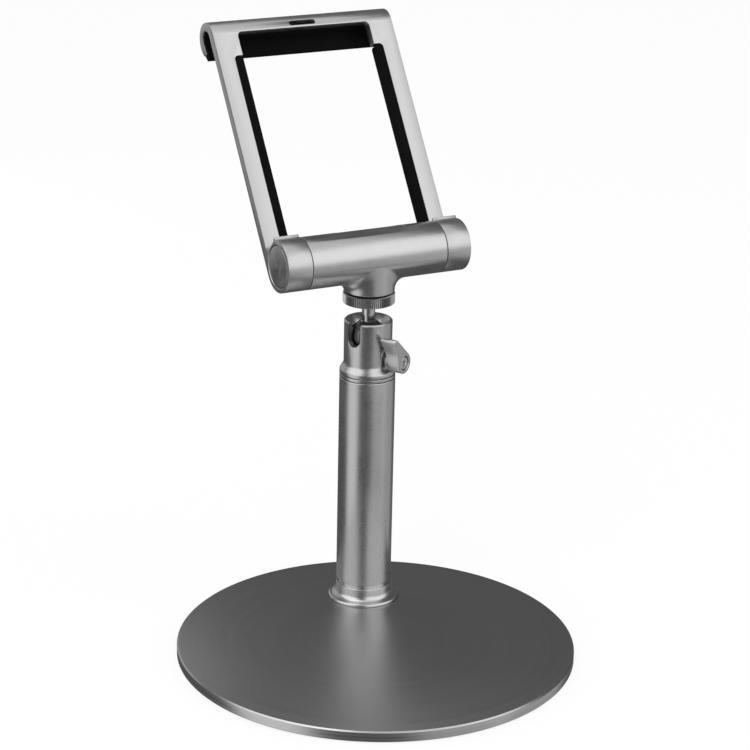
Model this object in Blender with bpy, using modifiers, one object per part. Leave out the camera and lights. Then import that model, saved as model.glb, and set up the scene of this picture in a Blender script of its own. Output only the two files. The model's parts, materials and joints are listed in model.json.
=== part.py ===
"""Tablet stand: round base, column, lockable ball head and a tilting open-frame bracket.

Units are metres, +Z is up. The origin is the centre of the base pad's underside, so the
stand rests on z = 0. +Y points to the back: the column stands behind the base's centre.
The head above the ball is turned a little about the column, as the stand was left.
"""

import math

import bmesh
import bpy
from mathutils import Matrix, Vector

MM = 0.001
GAP = 0.3 * MM              # clearance between pieces that touch
THIN_GAP = 0.2 * MM         # clearance in the thin washer stacks
MERGE = 0.01 * MM           # weld distance of turned shapes
OVERCUT = 2.0 * MM          # how far a cutter runs past the face it cuts

# Facets around a full turn
FACETS_BASE = 96
FACETS_COLUMN = 48
FACETS_SMALL = 24
FACETS_TINY = 16
ARC_STEP = math.radians(15)

# Base
BASE_RADIUS = 98.0 * MM
BASE_THICKNESS = 5.3 * MM
RIM_CHAMFER = 0.65 * MM
RIM_FOOT_CHAMFER = 0.35 * MM
PAD_PROUD = 0.5 * MM
PAD_SINK = 0.5 * MM
PAD_MARGIN = 6.0 * MM
COLUMN_BACK = 55.5 * MM     # column axis behind the base centre
FOOT_RECESS = 1.0 * MM

# Screw that holds the column foot to the base
FOOT_SCREW_RADIUS = 3.0 * MM
FOOT_SCREW_LENGTH = 17.0 * MM
FOOT_SCREW_HEAD_RADIUS = 5.6 * MM
FOOT_SCREW_HEAD_HEIGHT = 2.9 * MM
FOOT_SCREW_HEX = 2.3 * MM
FOOT_SCREW_HEX_DEPTH = 1.7 * MM

# Column foot
FOOT_FLANGE_OUT = 3.94 * MM      # how far the flange stands out from the column
FOOT_FLANGE_HEIGHT = 1.65 * MM   # top of the flange over the base
FOOT_FLANGE_EDGE = 1.1 * MM      # rounding of the flange's outer edge
FOOT_EDGE_SWEEP = 78.0           # degrees of that rounding
FOOT_FLARE_RADIUS = 3.3 * MM
FOOT_FLARE_SWEEP = 82.0          # degrees of the flare between column and flange
FOOT_TOP = 8.1 * MM             # height of the foot's top edge over the base
FOOT_EDGE = 0.45 * MM
NECK_HEIGHT = 2.2 * MM          # open groove between foot and tube
NECK_STEP = 1.3 * MM            # how far the neck lies inside the tube's surface
SPIGOT_LENGTH = 17.0 * MM

# Column tube
COLUMN_RADIUS = 14.0 * MM
TUBE_WALL = 2.5 * MM
TUBE_LENGTH = 109.0 * MM
TUBE_EDGE = 0.45 * MM

# Plug that closes the tube and carries the ball housing
PLUG_RING_HEIGHT = 1.55 * MM
PLUG_RING_EDGE = 0.25 * MM
PLUG_SPIGOT_LENGTH = 14.0 * MM
PLUG_BORE = 5.0 * MM
PLUG_UPPER_LENGTH = 4.6 * MM

# Ball housing, heights from its own lower edge
HOUSING_STEP = 1.95 * MM        # how much slimmer the housing is than the column
HOUSING_HEIGHT = 27.55 * MM
HOUSING_SKIRT = 1.3 * MM
HOUSING_FLARE = 4.3 * MM
FLARE_EASE_STEP = 0.12          # share of the flare's step in each rounded end
FLARE_EASE_HEIGHT = 0.2         # share of the flare's height in each rounded end
HOUSING_EDGE = 0.55 * MM
HOUSING_LIP = 0.75 * MM         # flat ring between the dish and the outer edge
BALL_RADIUS = 8.5 * MM
BALL_HEIGHT = 19.15 * MM        # ball centre over the housing's lower edge
BALL_COVER = 4.4 * MM           # the housing grips the ball this far above its centre
SLOT_FACING = math.radians(-44.7)   # slot's direction, from -Y towards +X
SLOT_CLEARANCE = 0.35 * MM

# Ball seat, a loose cup under the ball that the clamp screw lifts
SEAT_RIM_RADIUS = 7.2 * MM
SEAT_POCKET_DEPTH = 3.0 * MM

# Ball stem
STEM_RADIUS = 3.3 * MM
STUD_RADIUS = 3.0 * MM
STUD_LENGTH = 18.5 * MM
STEM_REACH = 16.8 * MM          # ball centre to the shoulder under the knurled disc

# Clamp screw and wing lever, distances outward from the column axis
CLAMP_FACING = math.radians(51.0)   # clamp's direction, from -Y towards +X
CLAMP_HEIGHT = 8.45 * MM        # clamp axis over the housing's lower edge
CLAMP_SCREW_RADIUS = 2.5 * MM
CLAMP_TIP_REACH = 2.9 * MM      # tip's reach inside the ball's socket
CLAMP_TIP_LENGTH = 1.5 * MM
CLAMP_TIP_RADIUS = 1.2 * MM
SPOTFACE_ROOM = 0.25 * MM       # spotface beyond the lever's hub
SPOTFACE_DEPTH = 1.05 * MM
COLLAR_SMALL_RADIUS = 3.3 * MM
COLLAR_LARGE_RADIUS = 4.7 * MM
LEVER_HUB_RADIUS = 5.35 * MM
LEVER_CLEARANCE = 1.2 * MM      # hub's inner face beyond the column's surface
LEVER_THICKNESS = 6.6 * MM
LEVER_TIP_LEAN = 2.3 * MM       # how much nearer the housing the tip's inner face lies
LEVER_TIP_RADIUS = 1.3 * MM
LEVER_REACH = 15.0 * MM         # hub centre to the tip rounding's centre
LEVER_TIP_ANGLE = math.radians(122.0)   # from the viewer's right, seen from outside
LEVER_WEB = 1.9 * MM
LEVER_EDGE = 0.35 * MM
CAP_SCREW_HEAD_RADIUS = 3.3 * MM
CAP_SCREW_HEAD_HEIGHT = 2.3 * MM
CAP_SCREW_RADIUS = 1.3 * MM
CAP_SCREW_REACH = 4.0 * MM
CAP_SCREW_HEX = 1.5 * MM
CAP_SCREW_HEX_DEPTH = 1.3 * MM
CAP_SCREW_SINK = 0.45 * MM

# Knurled lock disc and the washer above it
DISC_RADIUS = 13.0 * MM
DISC_HEIGHT = 5.5 * MM
DISC_RIBS = 80
DISC_RIB_DEPTH = 0.22 * MM
WASHER_RADIUS = 12.3 * MM
WASHER_THICKNESS = 0.4 * MM

# Hinge block: a barrel across the stand with a boss below
HEAD_TURN = math.radians(20.56)     # head's turn about the column
BARREL_RADIUS = 13.0 * MM
HEAD_WIDTH = 100.0 * MM
KNUCKLE_WIDTH = 13.05 * MM
BOSS_NECK = 4.8 * MM            # boss's lower face under the barrel's underside
BOSS_RADIUS = 12.7 * MM
BOSS_FILLET = 5.7 * MM
BOSS_FILLET_SWEEP = 85.0        # degrees of the fillet under the barrel
BOSS_STEP = 0.02 * MM           # least rise between the boss's rings where they run together
BOSS_EDGE = 0.35 * MM
BARREL_FLAT_DEPTH = 1.3 * MM    # shallow bare flat on top of the barrel
BARREL_FLAT_HALF = 14.0 * MM
BARREL_FLAT_RUNOUT = 11.0 * MM  # radius of the flat's run-out at each end
BARREL_EDGE = 0.25 * MM

# Friction hinge in each knuckle, distances along the barrel
END_DISC_MARGIN = 2.7 * MM      # end disc's edge inside the knuckle's surface
END_DISC_THICKNESS = 1.9 * MM
END_DISC_SINK = 0.2 * MM
KNUCKLE_WEB = 4.0 * MM
KNUCKLE_POCKET_ROOM = 0.7 * MM  # pocket beyond the spring washer
HINGE_SHANK_RADIUS = 4.0 * MM
HINGE_HEAD_RADIUS = 6.6 * MM
HINGE_HEAD_HEIGHT = 2.4 * MM
HINGE_SHOULDER_REACH = 6.0 * MM     # shank's length inside the barrel
HINGE_THREAD_RADIUS = 3.0 * MM
HINGE_THREAD_LENGTH = 9.0 * MM
HINGE_HEX = 2.9 * MM
HINGE_HEX_DEPTH = 1.4 * MM
SPRING_WASHER_THICKNESS = 1.1 * MM
SPRING_WASHER_RADIUS = 7.3 * MM
FRICTION_WASHER_RADIUS = 7.6 * MM
FRICTION_WASHER_THICKNESS = 1.7 * MM

# Bracket, in its own frame: along is up the plate from the barrel axis, depth is behind
# a plane through that axis
BRACKET_LEAN = math.radians(34.33)
PLATE_THICKNESS = 5.0 * MM
HOOK_TOP = 134.5 * MM
HOOK_RADIUS = 9.0 * MM
HOOK_WALL = 4.2 * MM
HOOK_LIP_DROP = 14.7 * MM       # lip's lower edge below the hook's top
HOOK_LIP_LAND = 6.0             # degrees kept straight at the lip's outer corner
HOOK_LIP_WALL = 2.6 * MM
WINDOW_DROP = 9.1 * MM          # window's upper edge below the hook's top
WINDOW_MARGIN = 0.35 * MM       # window's sides inside the knuckles' inner faces
WINDOW_CORNER = 2.4 * MM
STRIP_DROP = 21.9 * MM          # side strips' upper ends below the hook's top
STRIP_RISE = 2.0 * MM           # side strips' lower ends over the barrel's surface
STRIP_WIDTH = 4.2 * MM
STRIP_CORNER = 1.7 * MM
STRIP_PROUD = 0.2 * MM
PILL_DROP = 6.6 * MM            # cable slot's middle below the hook's top
PILL_LENGTH = 14.4 * MM
PILL_WIDTH = 2.8 * MM
LEDGE_RISE = 0.8 * MM           # ledge's edge over the barrel's surface
LEDGE_FRONT = 4.5 * MM          # in front of the barrel axis plane
LEDGE_THICKNESS = 1.2 * MM
LEDGE_FOOT_DEPTH = 1.0 * MM     # how far the ledge's inner face slopes back
LEDGE_FOOT_DROP = 0.5 * MM      # that slope's foot below the barrel's surface
NOTCH_DEPTH = 1.8 * MM          # notch floor below the barrel's surface
NOTCH_FILLET = 2.3 * MM
NOTCH_FLAT_END = 2.8 * MM       # behind the barrel axis plane

# Rubber liner in the hook
LINER_THICKNESS = 1.9 * MM
LINER_DROP = 3.4 * MM           # liner's lower edge below the hook's lip
LINER_NOSE_WIDTH = 2.8 * MM

# Radii and distances that follow from what they fit
FOOT_FLANGE_RADIUS = COLUMN_RADIUS + FOOT_FLANGE_OUT
HOUSING_RADIUS = COLUMN_RADIUS - HOUSING_STEP
SOCKET_RADIUS = BALL_RADIUS + GAP
SEAT_POCKET_RADIUS = CLAMP_SCREW_RADIUS + GAP
SPOTFACE_RADIUS = LEVER_HUB_RADIUS + SPOTFACE_ROOM
SPOTFACE_AT = HOUSING_RADIUS - SPOTFACE_DEPTH
CLAMP_TIP_AT = SOCKET_RADIUS - CLAMP_TIP_REACH
LEVER_INNER_AT = COLUMN_RADIUS + LEVER_CLEARANCE
LEVER_OUTER_AT = LEVER_INNER_AT + LEVER_THICKNESS
BARREL_HEIGHT = BARREL_RADIUS + BOSS_NECK
END_DISC_RADIUS = BARREL_RADIUS - END_DISC_MARGIN
DISC_SEAT_RADIUS = END_DISC_RADIUS + GAP
KNUCKLE_POCKET_RADIUS = SPRING_WASHER_RADIUS + KNUCKLE_POCKET_ROOM
PLATE_FRONT = BARREL_RADIUS - PLATE_THICKNESS
HOOK_LIP_LOW = HOOK_TOP - HOOK_LIP_DROP
WINDOW_TOP = HOOK_TOP - WINDOW_DROP
STRIP_TOP = HOOK_TOP - STRIP_DROP
PILL_HEIGHT = HOOK_TOP - PILL_DROP
STRIP_LOW = BARREL_RADIUS + STRIP_RISE
LEDGE_TOP = BARREL_RADIUS + LEDGE_RISE
LEDGE_FOOT = BARREL_RADIUS - LEDGE_FOOT_DROP
NOTCH_FLOOR = BARREL_RADIUS - NOTCH_DEPTH
LINER_LOW = HOOK_LIP_LOW - LINER_DROP

# Heights that follow from the stack
BASE_LOW = PAD_PROUD
BASE_TOP = BASE_LOW + BASE_THICKNESS
RECESS_FLOOR = BASE_TOP - FOOT_RECESS
FOOT_TOP_Z = BASE_TOP + FOOT_TOP
TUBE_LOW = FOOT_TOP_Z + NECK_HEIGHT
TUBE_HIGH = TUBE_LOW + TUBE_LENGTH
PLUG_HIGH = TUBE_HIGH + GAP + PLUG_RING_HEIGHT
HOUSING_LOW = PLUG_HIGH + GAP
HOUSING_TOP = HOUSING_LOW + HOUSING_HEIGHT
BALL_Z = HOUSING_LOW + BALL_HEIGHT
CLAMP_Z = HOUSING_LOW + CLAMP_HEIGHT
DISC_LOW = BALL_Z + STEM_REACH + GAP
DISC_HIGH = DISC_LOW + DISC_HEIGHT
BOSS_LOW = DISC_HIGH + WASHER_THICKNESS + 2 * THIN_GAP
BARREL_Z = BOSS_LOW + BARREL_HEIGHT

# Widths and depths that follow from what they fit
TUBE_BORE = COLUMN_RADIUS - TUBE_WALL
SPIGOT_RADIUS = TUBE_BORE - GAP
SLOT_HALF = STEM_RADIUS + SLOT_CLEARANCE
HALF_HEAD = HEAD_WIDTH / 2
KNUCKLE_INNER = HALF_HEAD - KNUCKLE_WIDTH
BARREL_HALF = KNUCKLE_INNER - GAP
WINDOW_HALF = KNUCKLE_INNER - WINDOW_MARGIN
STRIP_INNER = WINDOW_HALF + STRIP_PROUD
STRIP_OUTER = STRIP_INNER + STRIP_WIDTH
HOOK_AXIS_DEPTH = PLATE_FRONT + HOOK_RADIUS
HOOK_AXIS_ALONG = HOOK_TOP - HOOK_RADIUS
HOOK_INNER_BACK = HOOK_AXIS_DEPTH + HOOK_RADIUS - HOOK_WALL
HOOK_INNER_RADIUS = (HOOK_INNER_BACK - BARREL_RADIUS) / 2
HOOK_INNER_DEPTH = BARREL_RADIUS + HOOK_INNER_RADIUS
LINER_FRONT = HOOK_INNER_BACK - LINER_THICKNESS - 2 * GAP
LINER_NOSE = LINER_FRONT + LINER_NOSE_WIDTH

# Colour, roughness and metallic value of each finish
SATIN_SILVER = ((0.60, 0.60, 0.61), 0.34, 1.0)
SPUN_SILVER = ((0.55, 0.55, 0.56), 0.28, 1.0)
BRUSHED_GREY = ((0.40, 0.40, 0.41), 0.36, 1.0)
BRIGHT_STEEL = ((0.62, 0.62, 0.63), 0.22, 1.0)
DARK_STEEL = ((0.12, 0.12, 0.13), 0.40, 1.0)
BLACK_RUBBER = ((0.012, 0.012, 0.013), 0.75, 0.0)
WHITE_NYLON = ((0.75, 0.75, 0.72), 0.50, 0.0)


# ---------------------------------------------------------------- scene and helpers

def clear_scene():
    """Remove whatever objects the file holds."""
    for thing in list(bpy.data.objects):
        bpy.data.objects.remove(thing, do_unlink=True)


def collection(name):
    """A new collection under the scene's own."""
    group = bpy.data.collections.new(name)
    bpy.context.scene.collection.children.link(group)
    return group


def material(name, finish):
    """A Principled material from a (colour, roughness, metallic) finish."""
    colour, roughness, metallic = finish
    made = bpy.data.materials.new(name)
    made.use_nodes = True
    shader = made.node_tree.nodes["Principled BSDF"]
    shader.inputs["Base Color"].default_value = (*colour, 1.0)
    shader.inputs["Roughness"].default_value = roughness
    shader.inputs["Metallic"].default_value = metallic
    return made


def empty(name, location, rotation=(0, 0, 0), parent=None):
    """An axis that pieces are parented to."""
    axis = bpy.data.objects.new(name, None)
    PARTS.objects.link(axis)
    axis.location = location
    axis.rotation_euler = rotation
    axis.parent = parent
    return axis


def place(mesh, name, finish, parent, location=(0, 0, 0), rotation=(0, 0, 0)):
    """A part: one object with its own material."""
    part = bpy.data.objects.new(name, mesh)
    PARTS.objects.link(part)
    part.parent = parent
    part.location = location
    part.rotation_euler = rotation
    mesh.materials.append(material(name, finish))
    return part


def cutter(mesh, name, parent, location=(0, 0, 0), rotation=(0, 0, 0)):
    """A hidden solid that only cuts."""
    tool = bpy.data.objects.new(name, mesh)
    CUTTERS.objects.link(tool)
    tool.parent = parent
    tool.location = location
    tool.rotation_euler = rotation
    tool.hide_render = True
    tool.display_type = "WIRE"
    return tool


def boolean(part, tool, operation="DIFFERENCE"):
    """Cut or join a part with a cutter, and keep the modifier."""
    step = part.modifiers.new(tool.name, "BOOLEAN")
    step.operation = operation
    step.solver = "EXACT"
    step.object = tool


def smooth(mesh, angle=math.radians(28)):
    """Shade smooth, with edges over the angle kept sharp."""
    mesh.shade_smooth()
    mesh.set_sharp_from_angle(angle=angle)


def arc(centre, radius, start, end, step=ARC_STEP):
    """Points of an arc in a plane, both ends included; angles in degrees."""
    first = math.radians(start)
    last = math.radians(end)
    count = max(2, math.ceil(abs(last - first) / step) + 1)
    points = []
    for index in range(count):
        turn = first + (last - first) * index / (count - 1)
        points.append((centre[0] + radius * math.cos(turn), centre[1] + radius * math.sin(turn)))
    return points


def turned_mesh(name, profile, facets, closed=False):
    """A solid of revolution about Z from (radius, height) points, outer side top to bottom."""
    outline = bpy.data.meshes.new(name)
    edges = [(index, index + 1) for index in range(len(profile) - 1)]
    if closed:
        edges.append((len(profile) - 1, 0))
    outline.from_pydata([(radius, 0, height) for radius, height in profile], edges, [])
    blank = bpy.data.objects.new(name, outline)
    bpy.context.scene.collection.objects.link(blank)
    screw = blank.modifiers.new("Turn", "SCREW")
    screw.axis = "Z"
    screw.angle = 2 * math.pi
    screw.steps = facets
    screw.render_steps = facets
    screw.use_merge_vertices = True
    screw.merge_threshold = MERGE
    screw.use_smooth_shade = True
    evaluated = blank.evaluated_get(bpy.context.evaluated_depsgraph_get())
    mesh = bpy.data.meshes.new_from_object(evaluated)
    mesh.name = name
    bpy.data.objects.remove(blank, do_unlink=True)
    bpy.data.meshes.remove(outline)
    smooth(mesh)
    return mesh


def outline_mesh(name, points, depth):
    """A flat outline in XY, extruded to depth and centred on its plane."""
    curve = bpy.data.curves.new(name, "CURVE")
    curve.dimensions = "2D"
    curve.fill_mode = "BOTH"
    curve.extrude = depth / 2
    spline = curve.splines.new("POLY")
    spline.points.add(len(points) - 1)
    for point, (across, up) in zip(spline.points, points):
        point.co = (across, up, 0, 1)
    spline.use_cyclic_u = True
    blank = bpy.data.objects.new(name, curve)
    bpy.context.scene.collection.objects.link(blank)
    evaluated = blank.evaluated_get(bpy.context.evaluated_depsgraph_get())
    mesh = bpy.data.meshes.new_from_object(evaluated)
    mesh.name = name
    bpy.data.objects.remove(blank, do_unlink=True)
    bpy.data.curves.remove(curve)
    weld(mesh)
    smooth(mesh)
    return mesh


def weld(mesh):
    """Join the loose caps of an extruded outline and turn all faces outward."""
    work = bmesh.new()
    work.from_mesh(mesh)
    bmesh.ops.remove_doubles(work, verts=work.verts, dist=MERGE / 10)
    bmesh.ops.recalc_face_normals(work, faces=work.faces)
    work.to_mesh(mesh)
    work.free()


def box_mesh(name, low, high):
    """A box between two corners."""
    mesh = bpy.data.meshes.new(name)
    work = bmesh.new()
    bmesh.ops.create_cube(work, size=1)
    size = [high[axis] - low[axis] for axis in range(3)]
    middle = Vector([(high[axis] + low[axis]) / 2 for axis in range(3)])
    bmesh.ops.scale(work, vec=size, verts=work.verts)
    bmesh.ops.translate(work, vec=middle, verts=work.verts)
    work.to_mesh(mesh)
    work.free()
    return mesh


def rod_mesh(name, radius, low, high, facets, end_radius=None):
    """A cylinder or cone along Z between two heights."""
    mesh = bpy.data.meshes.new(name)
    work = bmesh.new()
    bmesh.ops.create_cone(
        work, cap_ends=True, segments=facets, depth=high - low,
        radius1=radius, radius2=radius if end_radius is None else end_radius,
    )
    bmesh.ops.translate(work, vec=(0, 0, (high + low) / 2), verts=work.verts)
    work.to_mesh(mesh)
    work.free()
    smooth(mesh)
    return mesh


def washer_mesh(name, hole, radius, low, high, facets):
    """A flat ring along Z."""
    profile = [(radius, high), (radius, low), (hole, low), (hole, high)]
    return turned_mesh(name, profile, facets, closed=True)


def rounded_box(half_width, low, high, corner):
    """An upright outline with its two top corners rounded."""
    points = [(-half_width, low), (half_width, low)]
    points += arc((half_width - corner, high - corner), corner, 0, 90)
    points += arc((-half_width + corner, high - corner), corner, 90, 180)
    return points


# ---------------------------------------------------------------- base and column

def build_base(origin, column):
    """The turned base disc, its pad and the screw under the column."""
    profile = [
        (0, BASE_TOP),
        (BASE_RADIUS - RIM_CHAMFER, BASE_TOP),
        (BASE_RADIUS, BASE_TOP - RIM_CHAMFER),
        (BASE_RADIUS, BASE_LOW + RIM_FOOT_CHAMFER),
        (BASE_RADIUS - RIM_FOOT_CHAMFER, BASE_LOW),
        (BASE_RADIUS - PAD_MARGIN, BASE_LOW),
        (BASE_RADIUS - PAD_MARGIN, BASE_LOW + PAD_SINK),
        (0, BASE_LOW + PAD_SINK),
    ]
    base = place(turned_mesh("base_plate", profile, FACETS_BASE), "base_plate", BRUSHED_GREY, origin)

    recess = rod_mesh("foot_recess", FOOT_FLANGE_RADIUS + GAP, RECESS_FLOOR, BASE_TOP + OVERCUT,
                      FACETS_COLUMN)
    boolean(base, cutter(recess, "foot_recess", column))
    head_low = BASE_LOW + PAD_SINK
    hole_radius = FOOT_SCREW_RADIUS + GAP
    head_radius = FOOT_SCREW_HEAD_RADIUS + GAP
    countersink = turned_mesh("countersink", [
        (0, RECESS_FLOOR + OVERCUT),
        (hole_radius, RECESS_FLOOR + OVERCUT),
        (hole_radius, head_low + FOOT_SCREW_HEAD_HEIGHT),
        (head_radius, head_low),
        (head_radius, head_low - OVERCUT),
        (0, head_low - OVERCUT),
    ], FACETS_SMALL)
    boolean(base, cutter(countersink, "countersink", column))

    pad_radius = BASE_RADIUS - PAD_MARGIN - GAP
    pad_profile = [(0, BASE_LOW + PAD_SINK - THIN_GAP), (pad_radius, BASE_LOW + PAD_SINK - THIN_GAP),
                   (pad_radius, 0), (0, 0)]
    place(turned_mesh("base_pad", pad_profile, FACETS_BASE), "base_pad", BLACK_RUBBER, origin)

    screw_low = head_low + THIN_GAP
    screw_profile = [
        (0, screw_low + FOOT_SCREW_LENGTH),
        (FOOT_SCREW_RADIUS, screw_low + FOOT_SCREW_LENGTH),
        (FOOT_SCREW_RADIUS, screw_low + FOOT_SCREW_HEAD_HEIGHT - THIN_GAP),
        (FOOT_SCREW_HEAD_RADIUS, screw_low),
        (0, screw_low),
    ]
    screw = place(turned_mesh("foot_screw", screw_profile, FACETS_SMALL), "foot_screw", DARK_STEEL, column)
    socket = rod_mesh("foot_screw_hex", FOOT_SCREW_HEX, screw_low - OVERCUT,
                      screw_low + FOOT_SCREW_HEX_DEPTH, 6)
    boolean(screw, cutter(socket, "foot_screw_hex", column))


def build_column(column):
    """The flared foot, the tube and the plug in its upper end."""
    foot_low = RECESS_FLOOR + GAP
    flange_top = BASE_TOP + FOOT_FLANGE_HEIGHT
    flare_centre = (COLUMN_RADIUS + FOOT_FLARE_RADIUS, flange_top + FOOT_FLARE_RADIUS)
    edge_centre = (FOOT_FLANGE_RADIUS - FOOT_FLANGE_EDGE, flange_top - FOOT_FLANGE_EDGE)
    profile = [
        (0, TUBE_LOW + SPIGOT_LENGTH),
        (SPIGOT_RADIUS, TUBE_LOW + SPIGOT_LENGTH),
        (SPIGOT_RADIUS, TUBE_LOW - GAP),
        (COLUMN_RADIUS - NECK_STEP, TUBE_LOW - GAP),
        (COLUMN_RADIUS - NECK_STEP, FOOT_TOP_Z),
        (COLUMN_RADIUS - FOOT_EDGE, FOOT_TOP_Z),
        (COLUMN_RADIUS, FOOT_TOP_Z - FOOT_EDGE),
    ]
    profile += arc(flare_centre, FOOT_FLARE_RADIUS, 180, 180 + FOOT_FLARE_SWEEP)
    profile += arc(edge_centre, FOOT_FLANGE_EDGE, FOOT_EDGE_SWEEP, 0)
    profile += [(FOOT_FLANGE_RADIUS, foot_low), (0, foot_low)]
    foot = place(turned_mesh("column_foot", profile, FACETS_COLUMN), "column_foot", SPUN_SILVER, column)
    screw_high = BASE_LOW + PAD_SINK + THIN_GAP + FOOT_SCREW_LENGTH
    thread = rod_mesh("foot_thread", FOOT_SCREW_RADIUS + GAP, foot_low - OVERCUT, screw_high + GAP,
                      FACETS_SMALL)
    boolean(foot, cutter(thread, "foot_thread", column))

    tube_profile = [
        (COLUMN_RADIUS - TUBE_EDGE, TUBE_HIGH),
        (COLUMN_RADIUS, TUBE_HIGH - TUBE_EDGE),
        (COLUMN_RADIUS, TUBE_LOW + TUBE_EDGE),
        (COLUMN_RADIUS - TUBE_EDGE, TUBE_LOW),
        (TUBE_BORE, TUBE_LOW),
        (TUBE_BORE, TUBE_HIGH),
    ]
    tube = turned_mesh("column_tube", tube_profile, FACETS_COLUMN, closed=True)
    place(tube, "column_tube", SATIN_SILVER, column)

    ring_low = TUBE_HIGH + GAP
    plug_profile = [
        (PLUG_BORE, PLUG_HIGH + PLUG_UPPER_LENGTH),
        (SOCKET_RADIUS - GAP, PLUG_HIGH + PLUG_UPPER_LENGTH),
        (SOCKET_RADIUS - GAP, PLUG_HIGH),
        (COLUMN_RADIUS - PLUG_RING_EDGE, PLUG_HIGH),
        (COLUMN_RADIUS, PLUG_HIGH - PLUG_RING_EDGE),
        (COLUMN_RADIUS, ring_low + PLUG_RING_EDGE),
        (COLUMN_RADIUS - PLUG_RING_EDGE, ring_low),
        (SPIGOT_RADIUS, ring_low),
        (SPIGOT_RADIUS, ring_low - PLUG_SPIGOT_LENGTH),
        (PLUG_BORE, ring_low - PLUG_SPIGOT_LENGTH),
    ]
    plug = turned_mesh("column_plug", plug_profile, FACETS_COLUMN, closed=True)
    place(plug, "column_plug", SPUN_SILVER, column)


# ---------------------------------------------------------------- ball head

def build_ball_housing(column, slot_axis, clamp_axis):
    """The housing that grips the ball, slotted on one side and tapped for the clamp screw."""
    dish_radius = HOUSING_RADIUS - HOUSING_EDGE - HOUSING_LIP
    grip_angle = math.degrees(math.asin(BALL_COVER / SOCKET_RADIUS))
    flare_low = HOUSING_LOW + HOUSING_SKIRT
    ease_step = FLARE_EASE_STEP * HOUSING_STEP
    ease_height = FLARE_EASE_HEIGHT * HOUSING_FLARE
    profile = [
        (dish_radius, HOUSING_TOP),
        (HOUSING_RADIUS - HOUSING_EDGE, HOUSING_TOP),
        (HOUSING_RADIUS, HOUSING_TOP - HOUSING_EDGE),
        (HOUSING_RADIUS, flare_low + HOUSING_FLARE),
        (HOUSING_RADIUS + ease_step, flare_low + HOUSING_FLARE - ease_height),
        (COLUMN_RADIUS - ease_step, flare_low + ease_height),
        (COLUMN_RADIUS, flare_low),
        (COLUMN_RADIUS, HOUSING_LOW + PLUG_RING_EDGE),
        (COLUMN_RADIUS - PLUG_RING_EDGE, HOUSING_LOW),
        (SOCKET_RADIUS, HOUSING_LOW),
    ]
    profile += arc((0, BALL_Z), SOCKET_RADIUS, 0, grip_angle)
    mesh = turned_mesh("ball_housing", profile, FACETS_COLUMN, closed=True)
    housing = place(mesh, "ball_housing", SATIN_SILVER, column)

    slot = outline_mesh("ball_slot", slot_outline(), HOUSING_RADIUS + OVERCUT)
    boolean(housing, cutter(slot, "ball_slot", slot_axis,
                            location=(0, -(HOUSING_RADIUS + OVERCUT) / 2, 0),
                            rotation=(math.pi / 2, 0, 0)))
    thread = rod_mesh("clamp_thread", CLAMP_SCREW_RADIUS + GAP, SOCKET_RADIUS - OVERCUT,
                      HOUSING_RADIUS + OVERCUT, FACETS_SMALL)
    boolean(housing, cutter(thread, "clamp_thread", clamp_axis))
    spotface = rod_mesh("clamp_spotface", SPOTFACE_RADIUS, SPOTFACE_AT, COLUMN_RADIUS + OVERCUT, FACETS_SMALL)
    boolean(housing, cutter(spotface, "clamp_spotface", clamp_axis))


def slot_outline():
    """The slot's upright U, about the ball's centre."""
    high = HOUSING_TOP - BALL_Z + OVERCUT
    points = [(SLOT_HALF, high), (-SLOT_HALF, high)]
    points += arc((0, 0), SLOT_HALF, 180, 360)
    return points


def build_ball_seat(column, clamp_axis):
    """The cup under the ball, with a pocket for the clamp screw's tip."""
    rim_drop = math.sqrt(SOCKET_RADIUS ** 2 - SEAT_RIM_RADIUS ** 2)
    seat_low = PLUG_HIGH + PLUG_UPPER_LENGTH + GAP
    rim_angle = math.degrees(math.atan2(rim_drop, SEAT_RIM_RADIUS))
    profile = arc((0, BALL_Z), SOCKET_RADIUS, -90, -rim_angle)
    profile[0] = (0, BALL_Z - SOCKET_RADIUS)
    profile += [
        (SOCKET_RADIUS - GAP, BALL_Z - rim_drop),
        (SOCKET_RADIUS - GAP, seat_low),
        (0, seat_low),
    ]
    seat = place(turned_mesh("ball_seat", profile, FACETS_SMALL), "ball_seat", WHITE_NYLON, column)
    pocket = rod_mesh("seat_pocket", SEAT_POCKET_RADIUS, SOCKET_RADIUS - GAP - SEAT_POCKET_DEPTH,
                      SOCKET_RADIUS + OVERCUT, FACETS_TINY)
    boolean(seat, cutter(pocket, "seat_pocket", clamp_axis))


def build_ball_stem(ball_axis):
    """The ball with its stem and threaded stud, about the ball's centre."""
    stem_angle = math.degrees(math.acos(STEM_RADIUS / BALL_RADIUS))
    profile = [
        (0, STEM_REACH + STUD_LENGTH),
        (STUD_RADIUS, STEM_REACH + STUD_LENGTH),
        (STUD_RADIUS, STEM_REACH),
        (STEM_RADIUS, STEM_REACH),
    ]
    profile += arc((0, 0), BALL_RADIUS, stem_angle, -90)
    profile[-1] = (0, -BALL_RADIUS)
    mesh = turned_mesh("ball_stem", profile, FACETS_SMALL)
    place(mesh, "ball_stem", BRIGHT_STEEL, ball_axis)


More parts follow.
